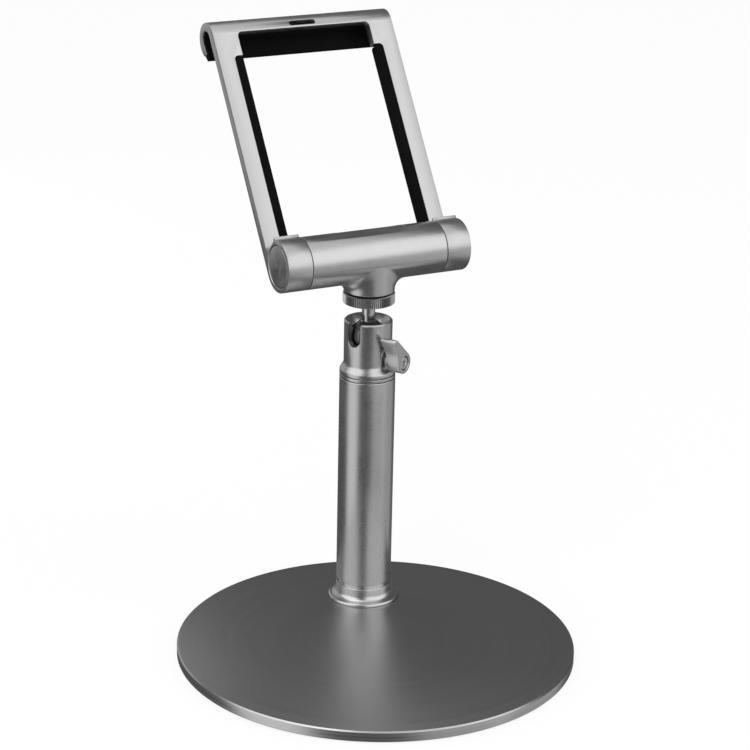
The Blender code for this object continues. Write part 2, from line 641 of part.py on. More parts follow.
def build_clamp(clamp_axis):
    """The clamp screw, the wing lever and the cap screw that holds it; the axis is local Z."""
    collar_low = SPOTFACE_AT + GAP
    screw_end = LEVER_OUTER_AT - CAP_SCREW_SINK - CAP_SCREW_HEAD_HEIGHT - LEVER_WEB - 2 * GAP
    collar_high = LEVER_INNER_AT - GAP - LEVER_TIP_LEAN * COLLAR_LARGE_RADIUS / LEVER_REACH
    profile = [
        (0, screw_end),
        (CLAMP_SCREW_RADIUS, screw_end),
        (CLAMP_SCREW_RADIUS, collar_high),
        (COLLAR_LARGE_RADIUS, collar_high),
        (COLLAR_SMALL_RADIUS, collar_low),
        (CLAMP_SCREW_RADIUS, collar_low),
        (CLAMP_SCREW_RADIUS, CLAMP_TIP_AT + CLAMP_TIP_LENGTH),
        (CLAMP_TIP_RADIUS, CLAMP_TIP_AT),
        (0, CLAMP_TIP_AT),
    ]
    screw = place(turned_mesh("clamp_screw", profile, FACETS_SMALL), "clamp_screw", BRIGHT_STEEL, clamp_axis)
    cap_low = screw_end + GAP + LEVER_WEB + GAP
    shank_low = cap_low - LEVER_WEB - GAP - CAP_SCREW_REACH
    tapped = rod_mesh("clamp_tapped", CAP_SCREW_RADIUS + THIN_GAP, shank_low - GAP, screw_end + OVERCUT,
                      FACETS_TINY)
    boolean(screw, cutter(tapped, "clamp_tapped", clamp_axis))

    lever_depth = LEVER_OUTER_AT - LEVER_INNER_AT + LEVER_TIP_LEAN
    lever_middle = LEVER_OUTER_AT - lever_depth / 2
    outline = outline_mesh("clamp_lever", lever_outline(), lever_depth)
    lever = place(outline, "clamp_lever", SATIN_SILVER, clamp_axis, location=(0, 0, lever_middle))
    slope = math.atan2(LEVER_TIP_LEAN, LEVER_REACH)
    under = LEVER_REACH + LEVER_HUB_RADIUS
    slab = box_mesh("lever_slope", (-under, -under, -2 * under), (2 * under, under, 0))
    tip_turn = Matrix.Rotation(LEVER_TIP_ANGLE, 4, "Z") @ Matrix.Rotation(slope, 4, "Y")
    boolean(lever, cutter(slab, "lever_slope", clamp_axis, location=(0, 0, LEVER_INNER_AT),
                          rotation=tip_turn.to_euler()))
    bore = rod_mesh("lever_bore", CLAMP_SCREW_RADIUS + THIN_GAP, LEVER_INNER_AT - lever_depth,
                    screw_end + GAP, FACETS_SMALL)
    boolean(lever, cutter(bore, "lever_bore", clamp_axis))
    hole = rod_mesh("lever_hole", CAP_SCREW_RADIUS + THIN_GAP, screw_end - OVERCUT, cap_low + OVERCUT,
                    FACETS_TINY)
    boolean(lever, cutter(hole, "lever_hole", clamp_axis))
    well = rod_mesh("lever_well", CAP_SCREW_HEAD_RADIUS + GAP, cap_low - GAP, LEVER_OUTER_AT + OVERCUT,
                    FACETS_SMALL)
    boolean(lever, cutter(well, "lever_well", clamp_axis))

    cap_high = cap_low + CAP_SCREW_HEAD_HEIGHT
    cap_profile = [
        (0, cap_high),
        (CAP_SCREW_HEAD_RADIUS - LEVER_EDGE, cap_high),
        (CAP_SCREW_HEAD_RADIUS, cap_high - LEVER_EDGE),
        (CAP_SCREW_HEAD_RADIUS, cap_low),
        (CAP_SCREW_RADIUS, cap_low),
        (CAP_SCREW_RADIUS, shank_low),
        (0, shank_low),
    ]
    cap_mesh = turned_mesh("lever_cap_screw", cap_profile, FACETS_TINY)
    cap = place(cap_mesh, "lever_cap_screw", BRIGHT_STEEL, clamp_axis)
    socket = rod_mesh("cap_hex", CAP_SCREW_HEX, cap_high - CAP_SCREW_HEX_DEPTH, cap_high + OVERCUT, 6)
    boolean(cap, cutter(socket, "cap_hex", clamp_axis))


def lever_outline():
    """A teardrop: the hub's circle drawn out to a small rounding at the tip."""
    spread = math.degrees(math.acos((LEVER_HUB_RADIUS - LEVER_TIP_RADIUS) / LEVER_REACH))
    tip = math.degrees(LEVER_TIP_ANGLE)
    tip_centre = (LEVER_REACH * math.cos(LEVER_TIP_ANGLE), LEVER_REACH * math.sin(LEVER_TIP_ANGLE))
    points = arc((0, 0), LEVER_HUB_RADIUS, tip + spread, tip + 360 - spread)
    points += arc(tip_centre, LEVER_TIP_RADIUS, tip - spread, tip + spread, 2 * ARC_STEP)
    return points


# ---------------------------------------------------------------- hinge block

def build_lock_disc(head_axis):
    """The knurled disc that locks the stud, and the thin washer over it."""
    points = []
    for rib in range(DISC_RIBS):
        for share, radius in ((0.0, DISC_RADIUS - DISC_RIB_DEPTH), (0.5, DISC_RADIUS)):
            turn = 2 * math.pi * (rib + share) / DISC_RIBS
            points.append((radius * math.cos(turn), radius * math.sin(turn)))
    mesh = outline_mesh("lock_disc", points, DISC_HEIGHT)
    disc = place(mesh, "lock_disc", SPUN_SILVER, head_axis, location=(0, 0, (DISC_LOW + DISC_HIGH) / 2))
    hole = rod_mesh("lock_disc_thread", STUD_RADIUS + GAP, DISC_LOW - OVERCUT, DISC_HIGH + OVERCUT,
                    FACETS_SMALL)
    boolean(disc, cutter(hole, "lock_disc_thread", head_axis))

    washer_low = DISC_HIGH + THIN_GAP
    washer = washer_mesh("disc_washer", STUD_RADIUS + GAP, WASHER_RADIUS, washer_low,
                         washer_low + WASHER_THICKNESS, FACETS_SMALL)
    place(washer, "disc_washer", BLACK_RUBBER, head_axis)


def build_hinge_block(barrel_axis):
    """The barrel with its boss, bored at both ends for the hinge screws and below for the stud."""
    barrel_profile = [
        (0, BARREL_HALF),
        (BARREL_RADIUS - BARREL_EDGE, BARREL_HALF),
        (BARREL_RADIUS, BARREL_HALF - BARREL_EDGE),
        (BARREL_RADIUS, -BARREL_HALF + BARREL_EDGE),
        (BARREL_RADIUS - BARREL_EDGE, -BARREL_HALF),
        (0, -BARREL_HALF),
    ]
    mesh = turned_mesh("hinge_block", barrel_profile, FACETS_COLUMN)
    mesh.transform(Matrix.Rotation(math.pi / 2, 4, "Y"))
    block = place(mesh, "hinge_block", SATIN_SILVER, barrel_axis)

    boss = cutter(boss_mesh(), "barrel_boss", barrel_axis)
    boolean(block, boss, "UNION")

    flat = outline_mesh("barrel_flat", flat_outline(), 2 * BARREL_RADIUS)
    boolean(block, cutter(flat, "barrel_flat", barrel_axis, rotation=(math.pi / 2, 0, 0)))

    stud_high = BALL_Z + STEM_REACH + STUD_LENGTH - BARREL_Z
    stud_hole = rod_mesh("stud_thread", STUD_RADIUS + GAP, -BARREL_HEIGHT - OVERCUT, stud_high + GAP,
                         FACETS_SMALL)
    boolean(block, cutter(stud_hole, "stud_thread", barrel_axis))

    shoulder_end = BARREL_HALF - HINGE_SHOULDER_REACH
    thread_end = shoulder_end - HINGE_THREAD_LENGTH
    for side, turn in (("left", -math.pi / 2), ("right", math.pi / 2)):
        bore = turned_mesh("hinge_bore_" + side, [
            (0, BARREL_HALF + OVERCUT),
            (HINGE_SHANK_RADIUS + GAP, BARREL_HALF + OVERCUT),
            (HINGE_SHANK_RADIUS + GAP, shoulder_end - GAP),
            (HINGE_THREAD_RADIUS + GAP, shoulder_end - GAP),
            (HINGE_THREAD_RADIUS + GAP, thread_end - GAP),
            (0, thread_end - GAP),
        ], FACETS_SMALL)
        boolean(block, cutter(bore, "hinge_bore_" + side, barrel_axis, rotation=(0, turn, 0)))


def boss_mesh():
    """The boss below the barrel, flaring along the barrel where it meets it."""
    levels = [(-BARREL_HEIGHT, BOSS_RADIUS - BOSS_EDGE, BOSS_RADIUS - BOSS_EDGE),
              (-BARREL_HEIGHT + BOSS_EDGE, BOSS_RADIUS, BOSS_RADIUS)]
    mesh = bpy.data.meshes.new("barrel_boss")
    work = bmesh.new()
    turns = [2 * math.pi * index / FACETS_COLUMN for index in range(FACETS_COLUMN)]
    rings = []
    for height, along, across in levels:
        points = [(along * math.cos(turn), across * math.sin(turn), height) for turn in turns]
        rings.append([work.verts.new(point) for point in points])
    flare = arc((BOSS_RADIUS + BOSS_FILLET, -BOSS_FILLET), BOSS_FILLET, 180, 180 - BOSS_FILLET_SWEEP)
    for along, rise in flare:
        ring = []
        for turn in turns:
            across = BOSS_RADIUS * math.sin(turn)
            underside = -math.sqrt(BARREL_RADIUS ** 2 - across ** 2)
            height = max(underside + rise, BOSS_EDGE - BARREL_HEIGHT + BOSS_STEP * len(rings))
            ring.append(work.verts.new((along * math.cos(turn), across, height)))
        rings.append(ring)
    wide = BOSS_RADIUS + BOSS_FILLET
    rings.append([work.verts.new((wide * math.cos(turn), BOSS_RADIUS * math.sin(turn), 0)) for turn in turns])
    for lower, upper in zip(rings, rings[1:]):
        for index in range(FACETS_COLUMN):
            after = (index + 1) % FACETS_COLUMN
            work.faces.new((lower[index], lower[after], upper[after], upper[index]))
    work.faces.new(list(reversed(rings[0])))
    work.faces.new(rings[-1])
    work.to_mesh(mesh)
    work.free()
    smooth(mesh)
    return mesh


def flat_outline():
    """Side view of the milled flat: level in the middle, running out in an arc at each end."""
    floor = BARREL_RADIUS - BARREL_FLAT_DEPTH
    high = BARREL_RADIUS + OVERCUT
    centre_height = floor + BARREL_FLAT_RUNOUT
    end_angle = math.degrees(math.acos((centre_height - high) / BARREL_FLAT_RUNOUT))
    step = ARC_STEP / 2
    points = arc((BARREL_FLAT_HALF, centre_height), BARREL_FLAT_RUNOUT, 270, 270 + end_angle, step)
    points += arc((-BARREL_FLAT_HALF, centre_height), BARREL_FLAT_RUNOUT, 270 - end_angle, 270, step)
    return points


def build_hinge_hardware(barrel_axis, tilt_axis):
    """In each knuckle: a shoulder screw, its spring and friction washers, and the end disc."""
    web_inner = KNUCKLE_INNER + FRICTION_WASHER_THICKNESS + GAP
    web_outer = web_inner + KNUCKLE_WEB
    spring_low = web_outer + GAP
    spring_high = spring_low + SPRING_WASHER_THICKNESS
    head_low = spring_high + THIN_GAP
    head_high = head_low + HINGE_HEAD_HEIGHT
    shoulder_end = BARREL_HALF - HINGE_SHOULDER_REACH
    thread_end = shoulder_end - HINGE_THREAD_LENGTH
    disc_high = HALF_HEAD - END_DISC_SINK
    disc_low = disc_high - END_DISC_THICKNESS
    screw_profile = [
        (0, head_high),
        (HINGE_HEAD_RADIUS, head_high),
        (HINGE_HEAD_RADIUS, head_low),
        (HINGE_SHANK_RADIUS, head_low),
        (HINGE_SHANK_RADIUS, shoulder_end),
        (HINGE_THREAD_RADIUS, shoulder_end),
        (HINGE_THREAD_RADIUS, thread_end),
        (0, thread_end),
    ]
    disc_profile = [
        (0, disc_high),
        (END_DISC_RADIUS - BARREL_EDGE, disc_high),
        (END_DISC_RADIUS, disc_high - BARREL_EDGE),
        (END_DISC_RADIUS, disc_low),
        (0, disc_low),
    ]
    hole = HINGE_SHANK_RADIUS + GAP
    for side, turn in (("left", -math.pi / 2), ("right", math.pi / 2)):
        along = (0, turn, 0)
        name = "hinge_screw_" + side
        screw_mesh = turned_mesh(name, screw_profile, FACETS_SMALL)
        screw = place(screw_mesh, name, DARK_STEEL, barrel_axis, rotation=along)
        hex_name = "hinge_hex_" + side
        socket = rod_mesh(hex_name, HINGE_HEX, head_high - HINGE_HEX_DEPTH, head_high + OVERCUT, 6)
        boolean(screw, cutter(socket, hex_name, barrel_axis, rotation=along))
        name = "spring_washer_" + side
        spring = washer_mesh(name, hole, SPRING_WASHER_RADIUS, spring_low, spring_high, FACETS_SMALL)
        place(spring, name, BRIGHT_STEEL, barrel_axis, rotation=along)
        name = "friction_washer_" + side
        friction = washer_mesh(name, hole, FRICTION_WASHER_RADIUS, KNUCKLE_INNER,
                               KNUCKLE_INNER + FRICTION_WASHER_THICKNESS, FACETS_SMALL)
        place(friction, name, WHITE_NYLON, barrel_axis, rotation=along)
        name = "end_disc_" + side
        place(turned_mesh(name, disc_profile, FACETS_COLUMN), name, SPUN_SILVER, tilt_axis, rotation=along)


# ---------------------------------------------------------------- bracket

def bracket_outline():
    """Side view of the bracket as (depth behind the barrel axis, distance along the plate)."""
    lip_turn = math.degrees(math.asin((HOOK_AXIS_ALONG - HOOK_LIP_LOW) / HOOK_RADIUS))
    lip_outer = HOOK_AXIS_DEPTH + HOOK_RADIUS * math.cos(math.radians(lip_turn))
    ledge_turn = math.degrees(math.acos(LEDGE_FRONT / BARREL_RADIUS))
    fillet_centre = (PLATE_FRONT - NOTCH_FILLET, NOTCH_FLOOR + NOTCH_FILLET)
    inner_centre = (HOOK_INNER_DEPTH, HOOK_TOP - HOOK_WALL - HOOK_INNER_RADIUS)
    points = arc((0, 0), BARREL_RADIUS, 180 - ledge_turn, 360)
    points += arc(inner_centre, HOOK_INNER_RADIUS, 180, 0)
    points += [(lip_outer - HOOK_LIP_WALL, HOOK_LIP_LOW), (lip_outer, HOOK_LIP_LOW)]
    points += arc((HOOK_AXIS_DEPTH, HOOK_AXIS_ALONG), HOOK_RADIUS, HOOK_LIP_LAND - lip_turn, 180)
    points += arc(fillet_centre, NOTCH_FILLET, 360, 270)
    points += [
        (NOTCH_FLAT_END, NOTCH_FLOOR),
        (LEDGE_THICKNESS - LEDGE_FRONT + LEDGE_FOOT_DEPTH, LEDGE_FOOT),
        (LEDGE_THICKNESS - LEDGE_FRONT, LEDGE_TOP),
        (-LEDGE_FRONT, LEDGE_TOP),
    ]
    return points


def across_bracket(mesh):
    """Turn an outline drawn in XY so that it lies in the YZ plane and runs along X."""
    mesh.transform(Matrix(((0, 0, 1, 0), (1, 0, 0, 0), (0, 1, 0, 0), (0, 0, 0, 1))))
    return mesh


def build_bracket(tilt_axis):
    """The extruded plate with its hook, window, knuckles and ledges."""
    mesh = across_bracket(outline_mesh("bracket", bracket_outline(), HEAD_WIDTH))
    bracket = place(mesh, "bracket", SATIN_SILVER, tilt_axis)

    cut_depth = PLATE_THICKNESS + 2 * OVERCUT
    cut_middle = PLATE_FRONT + PLATE_THICKNESS / 2
    cuts = (
        ("window_upper", rounded_box(WINDOW_HALF, STRIP_LOW, WINDOW_TOP, WINDOW_CORNER)),
        ("window_lower", rounded_box(STRIP_OUTER + GAP, STRIP_LOW - GAP, STRIP_TOP + GAP,
                                     STRIP_CORNER + GAP)),
    )
    for name, outline in cuts:
        tool = outline_mesh(name, outline, cut_depth)
        boolean(bracket, cutter(tool, name, tilt_axis, location=(0, cut_middle, 0),
                                rotation=(math.pi / 2, 0, 0)))

    between = box_mesh("barrel_gap", (-KNUCKLE_INNER, -BARREL_RADIUS - OVERCUT, -BARREL_RADIUS - OVERCUT),
                       (KNUCKLE_INNER, BARREL_RADIUS + OVERCUT, STRIP_LOW))
    boolean(bracket, cutter(between, "barrel_gap", tilt_axis))

    pill = arc(((PILL_LENGTH - PILL_WIDTH) / 2, 0), PILL_WIDTH / 2, -90, 90, 2 * ARC_STEP)
    pill += arc((-(PILL_LENGTH - PILL_WIDTH) / 2, 0), PILL_WIDTH / 2, 90, 270, 2 * ARC_STEP)
    pill_tool = outline_mesh("cable_slot", pill, cut_depth)
    boolean(bracket, cutter(pill_tool, "cable_slot", tilt_axis, location=(0, cut_middle, PILL_HEIGHT),
                            rotation=(math.pi / 2, 0, 0)))

    web_inner = KNUCKLE_INNER + FRICTION_WASHER_THICKNESS + GAP
    web_outer = web_inner + KNUCKLE_WEB
    seat = HALF_HEAD - END_DISC_SINK - END_DISC_THICKNESS - GAP
    for side, turn in (("left", -math.pi / 2), ("right", math.pi / 2)):
        bore = turned_mesh("knuckle_bore_" + side, [
            (0, HALF_HEAD + OVERCUT),
            (DISC_SEAT_RADIUS, HALF_HEAD + OVERCUT),
            (DISC_SEAT_RADIUS, seat),
            (KNUCKLE_POCKET_RADIUS, seat),
            (KNUCKLE_POCKET_RADIUS, web_outer),
            (HINGE_SHANK_RADIUS + GAP, web_outer),
            (HINGE_SHANK_RADIUS + GAP, web_inner),
            (FRICTION_WASHER_RADIUS + GAP, web_inner),
            (FRICTION_WASHER_RADIUS + GAP, KNUCKLE_INNER - OVERCUT),
            (0, KNUCKLE_INNER - OVERCUT),
        ], FACETS_COLUMN)
        boolean(bracket, cutter(bore, "knuckle_bore_" + side, tilt_axis, rotation=(0, turn, 0)))


def build_rubber(tilt_axis):
    """The liner in the hook and the two strips beside the window."""
    liner_centre = (HOOK_INNER_DEPTH, HOOK_TOP - HOOK_WALL - HOOK_INNER_RADIUS)
    outer_radius = HOOK_INNER_RADIUS - GAP
    lip_turn = math.asin((HOOK_AXIS_ALONG - HOOK_LIP_LOW) / HOOK_RADIUS)
    lip_outer = HOOK_AXIS_DEPTH + HOOK_RADIUS * math.cos(lip_turn)
    lip_inner = lip_outer - HOOK_LIP_WALL
    points = arc(liner_centre, outer_radius, 100, 0)
    points += [
        (lip_inner - GAP, HOOK_LIP_LOW),
        (lip_inner - GAP, HOOK_LIP_LOW - GAP),
        (lip_outer - GAP, HOOK_LIP_LOW - GAP),
        (LINER_NOSE, LINER_LOW),
        (LINER_FRONT, LINER_LOW),
    ]
    points += arc(liner_centre, outer_radius - LINER_THICKNESS, 0, 100)
    liner = across_bracket(outline_mesh("hook_liner", points, HEAD_WIDTH - 2 * GAP))
    place(liner, "hook_liner", BLACK_RUBBER, tilt_axis)

    half = STRIP_WIDTH / 2
    corner = STRIP_CORNER
    strip = arc((half - corner, STRIP_TOP - corner), corner, 0, 90)
    strip += arc((-half + corner, STRIP_TOP - corner), corner, 90, 180)
    strip += arc((-half + corner, STRIP_LOW + GAP + corner), corner, 180, 270)
    strip += arc((half - corner, STRIP_LOW + GAP + corner), corner, 270, 360)
    thickness = PLATE_THICKNESS + STRIP_PROUD
    middle = BARREL_RADIUS - thickness / 2
    for side, sign in (("left", -1), ("right", 1)):
        name = "side_strip_" + side
        across = sign * (STRIP_INNER + half)
        place(outline_mesh(name, strip, thickness), name, BLACK_RUBBER, tilt_axis,
              location=(across, middle, 0), rotation=(math.pi / 2, 0, 0))


# ---------------------------------------------------------------- the stand

clear_scene()
PARTS = collection("tablet_stand")
CUTTERS = collection("cutters")

stand_origin = empty("stand_origin", (0, 0, 0))
column_axis = empty("column_axis", (0, COLUMN_BACK, 0))
slot_frame = empty("slot_frame", (0, 0, BALL_Z), (0, 0, SLOT_FACING), column_axis)
clamp_frame = empty("clamp_frame", (0, 0, CLAMP_Z), (math.pi / 2, 0, CLAMP_FACING), column_axis)
ball_frame = empty("ball_frame", (0, 0, BALL_Z), (0, 0, 0), column_axis)
head_frame = empty("head_frame", (0, 0, 0), (0, 0, HEAD_TURN), column_axis)
barrel_frame = empty("barrel_frame", (0, 0, BARREL_Z), (0, 0, 0), head_frame)
tilt_frame = empty("tilt_frame", (0, 0, 0), (-BRACKET_LEAN, 0, 0), barrel_frame)

build_base(stand_origin, column_axis)
build_column(column_axis)
build_ball_housing(column_axis, slot_frame, clamp_frame)
build_ball_seat(column_axis, clamp_frame)
build_ball_stem(ball_frame)
build_clamp(clamp_frame)
build_lock_disc(head_frame)
build_hinge_block(barrel_frame)
build_hinge_hardware(barrel_frame, tilt_frame)
build_bracket(tilt_frame)
build_rubber(tilt_frame)
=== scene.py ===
"""Looks of the tablet stand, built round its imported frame.

Lengths in the classes are millimetres in each sub-assembly's own frame; meshes are made in metres.
"""

import json
import logging
import math
from collections.abc import Callable, Sequence
from dataclasses import dataclass
from enum import Enum

import bmesh
import bpy
from bpy.types import Material, Mesh, Node, NodeSocket, NodeTree, Object
from mathutils import Matrix, Vector

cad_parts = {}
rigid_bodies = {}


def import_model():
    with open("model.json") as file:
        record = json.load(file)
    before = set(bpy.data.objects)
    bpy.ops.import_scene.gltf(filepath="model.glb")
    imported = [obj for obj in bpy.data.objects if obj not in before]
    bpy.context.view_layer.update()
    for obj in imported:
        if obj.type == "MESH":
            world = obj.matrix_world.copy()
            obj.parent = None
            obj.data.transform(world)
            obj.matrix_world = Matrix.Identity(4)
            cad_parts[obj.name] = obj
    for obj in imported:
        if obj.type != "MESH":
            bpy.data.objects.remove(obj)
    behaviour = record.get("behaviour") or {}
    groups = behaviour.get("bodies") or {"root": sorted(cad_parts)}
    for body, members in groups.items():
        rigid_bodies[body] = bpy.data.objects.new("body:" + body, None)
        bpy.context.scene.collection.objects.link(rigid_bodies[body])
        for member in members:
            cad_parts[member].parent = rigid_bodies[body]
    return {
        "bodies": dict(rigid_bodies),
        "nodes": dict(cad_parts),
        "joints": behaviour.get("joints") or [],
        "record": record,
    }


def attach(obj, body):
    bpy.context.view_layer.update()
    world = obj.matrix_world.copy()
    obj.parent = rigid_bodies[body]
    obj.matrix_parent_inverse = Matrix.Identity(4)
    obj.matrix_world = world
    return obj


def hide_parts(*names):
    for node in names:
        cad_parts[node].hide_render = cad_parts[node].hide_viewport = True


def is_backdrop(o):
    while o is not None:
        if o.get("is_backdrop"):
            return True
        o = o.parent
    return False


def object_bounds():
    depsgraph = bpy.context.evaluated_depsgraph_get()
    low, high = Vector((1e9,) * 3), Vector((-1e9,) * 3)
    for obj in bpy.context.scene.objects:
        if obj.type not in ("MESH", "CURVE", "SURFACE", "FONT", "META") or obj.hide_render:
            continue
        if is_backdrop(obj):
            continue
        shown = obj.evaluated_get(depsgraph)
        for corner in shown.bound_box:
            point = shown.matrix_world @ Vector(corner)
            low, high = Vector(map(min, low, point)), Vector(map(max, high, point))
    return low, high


LOG = logging.getLogger("tablet_stand")
MM = 0.001
GAP = 0.3
OVERCUT = 2.0

Point = tuple[float, float]
Colour = tuple[float, float, float]
Outline = list[Point]


# ---------------------------------------------------------------- node groups and finishes

class Grain(Enum):
    """How a surface was finished."""

    BLASTED = "fine bead-blasted grain"
    TURNED = "rings left by turning, about local Z"
    BRUSHED = "straight lines along local X"
    MOULDED = "matt moulded skin"


def add_node(tree: NodeTree, kind: str, values: dict | None = None, **settings: object) -> Node:
    """Add a node with its settings, constants and links.

    Args:
        tree: tree that takes the node.
        kind: node type.
        values: socket name or index to a constant or to the socket that feeds it.
        settings: node properties.

    Returns:
        The new node.
    """
    node = tree.nodes.new(kind)
    for key, value in settings.items():
        setattr(node, key, value)
    for key, value in (values or {}).items():
        if isinstance(value, NodeSocket):
            tree.links.new(value, node.inputs[key])
        else:
            node.inputs[key].default_value = value
    return node


def maths(tree: NodeTree, operation: str, first: object, second: object = 0.0) -> NodeSocket:
    """Add one arithmetic node.

    Args:
        tree: tree that takes the node.
        operation: what it works out.
        first: first number or socket.
        second: second number or socket.

    Returns:
        The result's socket.
    """
    return add_node(tree, "ShaderNodeMath", {0: first, 1: second}, operation=operation).outputs[0]


def remap(tree: NodeTree, value: NodeSocket, source: Point, target: Point) -> NodeSocket:
    """Spread a value smoothly from one range onto another.

    Args:
        tree: tree that takes the node.
        value: socket to remap.
        source: lowest and highest value coming in.
        target: value going out at each end.

    Returns:
        The result's socket.
    """
    limits = {0: value, 1: source[0], 2: source[1], 3: target[0], 4: target[1]}
    return add_node(tree, "ShaderNodeMapRange", limits, interpolation_type="SMOOTHSTEP").outputs[0]


def new_group(name: str, inputs: dict[str, float], outputs: Sequence[str]) -> tuple[NodeTree, Node, Node]:
    """Start a shader node group with float sockets.

    Args:
        name: group name.
        inputs: input names and their usual values.
        outputs: output names.

    Returns:
        The group, its input node and its output node.
    """
    group = bpy.data.node_groups.new(name, "ShaderNodeTree")
    for label, usual in inputs.items():
        socket = group.interface.new_socket(label, in_out="INPUT", socket_type="NodeSocketFloat")
        socket.default_value = usual
    for label in outputs:
        group.interface.new_socket(label, in_out="OUTPUT", socket_type="NodeSocketFloat")
    return group, group.nodes.new("NodeGroupInput"), group.nodes.new("NodeGroupOutput")


def scaled_noise(tree: NodeTree, where: NodeSocket, scale: object, detail: float) -> NodeSocket:
    """Add a noise texture.

    Args:
        tree: tree that takes the node.
        where: coordinates.
        scale: number or socket.
        detail: how many finer layers it has.

    Returns:
        The noise value's socket.
    """
    values = {"Vector": where, "Scale": scale, "Detail": detail, "Roughness": 0.6}
    return add_node(tree, "ShaderNodeTexNoise", values).outputs[0]


def blasted_group() -> NodeTree:
    """Build the bead-blasted grain: a fine pebbled height and a slow cloudy tone."""
    group, given, result = new_group("blasted_grain", {"Density": 2500.0}, ("Height", "Tone"))
    place = add_node(group, "ShaderNodeTexCoord").outputs["Object"]
    height = scaled_noise(group, place, given.outputs["Density"], 2.0)
    cloud = scaled_noise(group, place, 45.0, 3.0)
    speck = scaled_noise(group, place, 900.0, 1.0)
    tone = maths(group, "ADD", maths(group, "MULTIPLY", cloud, 0.6), maths(group, "MULTIPLY", speck, 0.4))
    group.links.new(height, result.inputs["Height"])
    group.links.new(remap(group, tone, (0.35, 0.65), (0.0, 1.0)), result.inputs["Tone"])
    return group


def turned_group() -> NodeTree:
    """Build the lathe grain: fine rings round local Z that break up a little along their length."""
    group, given, result = new_group("turned_grain", {"Density": 3000.0}, ("Height", "Tone"))
    place = add_node(group, "ShaderNodeTexCoord").outputs["Object"]
    split = add_node(group, "ShaderNodeSeparateXYZ", {0: place})
    across, deep, high = split.outputs
    squares = maths(group, "ADD", maths(group, "MULTIPLY", across, across), maths(group, "MULTIPLY", deep, deep))
    radius = maths(group, "MAXIMUM", maths(group, "SQRT", squares), 0.0001)
    density = given.outputs["Density"]
    rings = add_node(group, "ShaderNodeCombineXYZ", {
        0: maths(group, "MULTIPLY", radius, density),
        1: maths(group, "MULTIPLY", high, density),
        2: maths(group, "MULTIPLY", maths(group, "DIVIDE", across, radius), 0.6),
    }).outputs[0]
    turn = maths(group, "MULTIPLY", maths(group, "DIVIDE", deep, radius), 0.6)
    noise = add_node(group, "ShaderNodeTexNoise", {
        "Vector": rings, "W": turn, "Scale": 1.0, "Detail": 2.0, "Roughness": 0.6,
    }, noise_dimensions="4D").outputs[0]
    wide = add_node(group, "ShaderNodeTexNoise", {
        "Vector": rings, "W": turn, "Scale": 0.3, "Detail": 2.0, "Roughness": 0.5,
    }, noise_dimensions="4D").outputs[0]
    tone = maths(group, "ADD", maths(group, "MULTIPLY", noise, 0.55), maths(group, "MULTIPLY", wide, 0.45))
    group.links.new(noise, result.inputs["Height"])
    group.links.new(remap(group, tone, (0.36, 0.64), (0.0, 1.0)), result.inputs["Tone"])
    return group


def brushed_group() -> NodeTree:
    """Build the straight brushed grain: long fine lines along local X."""
    group, given, result = new_group("brushed_grain", {"Density": 2500.0}, ("Height", "Tone"))
    place = add_node(group, "ShaderNodeTexCoord").outputs["Object"]
    stretch = add_node(group, "ShaderNodeVectorMath", {0: place, 1: (0.02, 1.0, 1.0)}, operation="MULTIPLY")
    lines = scaled_noise(group, stretch.outputs[0], given.outputs["Density"], 3.0)
    cloud = scaled_noise(group, place, 30.0, 2.0)
    tone = maths(group, "ADD", maths(group, "MULTIPLY", lines, 0.7), maths(group, "MULTIPLY", cloud, 0.3))
    group.links.new(lines, result.inputs["Height"])
    group.links.new(remap(group, tone, (0.36, 0.64), (0.0, 1.0)), result.inputs["Tone"])
    return group


def edge_highlight_group() -> NodeTree:
    """Build the edge mask of the painted highlight: 1 on convex edges and 0 on open faces, broken up by noise."""
    group, given, result = new_group("edge_highlight", {"Width": 0.0004}, ("Mask",))
    rounded = add_node(group, "ShaderNodeBevel", {"Radius": given.outputs["Width"]}, samples=6).outputs[0]
    face = add_node(group, "ShaderNodeNewGeometry").outputs["Normal"]
    same = add_node(group, "ShaderNodeVectorMath", {0: rounded, 1: face}, operation="DOT_PRODUCT").outputs["Value"]
    place = add_node(group, "ShaderNodeTexCoord").outputs["Object"]
    noise = remap(group, scaled_noise(group, place, 350.0, 2.0), (0.3, 0.6), (0.6, 1.0))
    mask = remap(group, same, (0.995, 0.85), (0.0, 1.0))
    group.links.new(maths(group, "MULTIPLY", mask, noise), result.inputs["Mask"])
    return group


GRAIN_GROUPS: dict[Grain, Callable[[], NodeTree]] = {
    Grain.BLASTED: blasted_group,
    Grain.TURNED: turned_group,
    Grain.BRUSHED: brushed_group,
    Grain.MOULDED: blasted_group,
}
_groups: dict[str, NodeTree] = {}
_materials: dict[str, Material] = {}


def shared_group(key: str, build: Callable[[], NodeTree]) -> NodeTree:
    """Build a group the first time and give the same one afterwards.

    Args:
        key: name it is kept under.
        build: function that builds it.

    Returns:
        The group.
    """
    if key not in _groups:
        _groups[key] = build()
    return _groups[key]


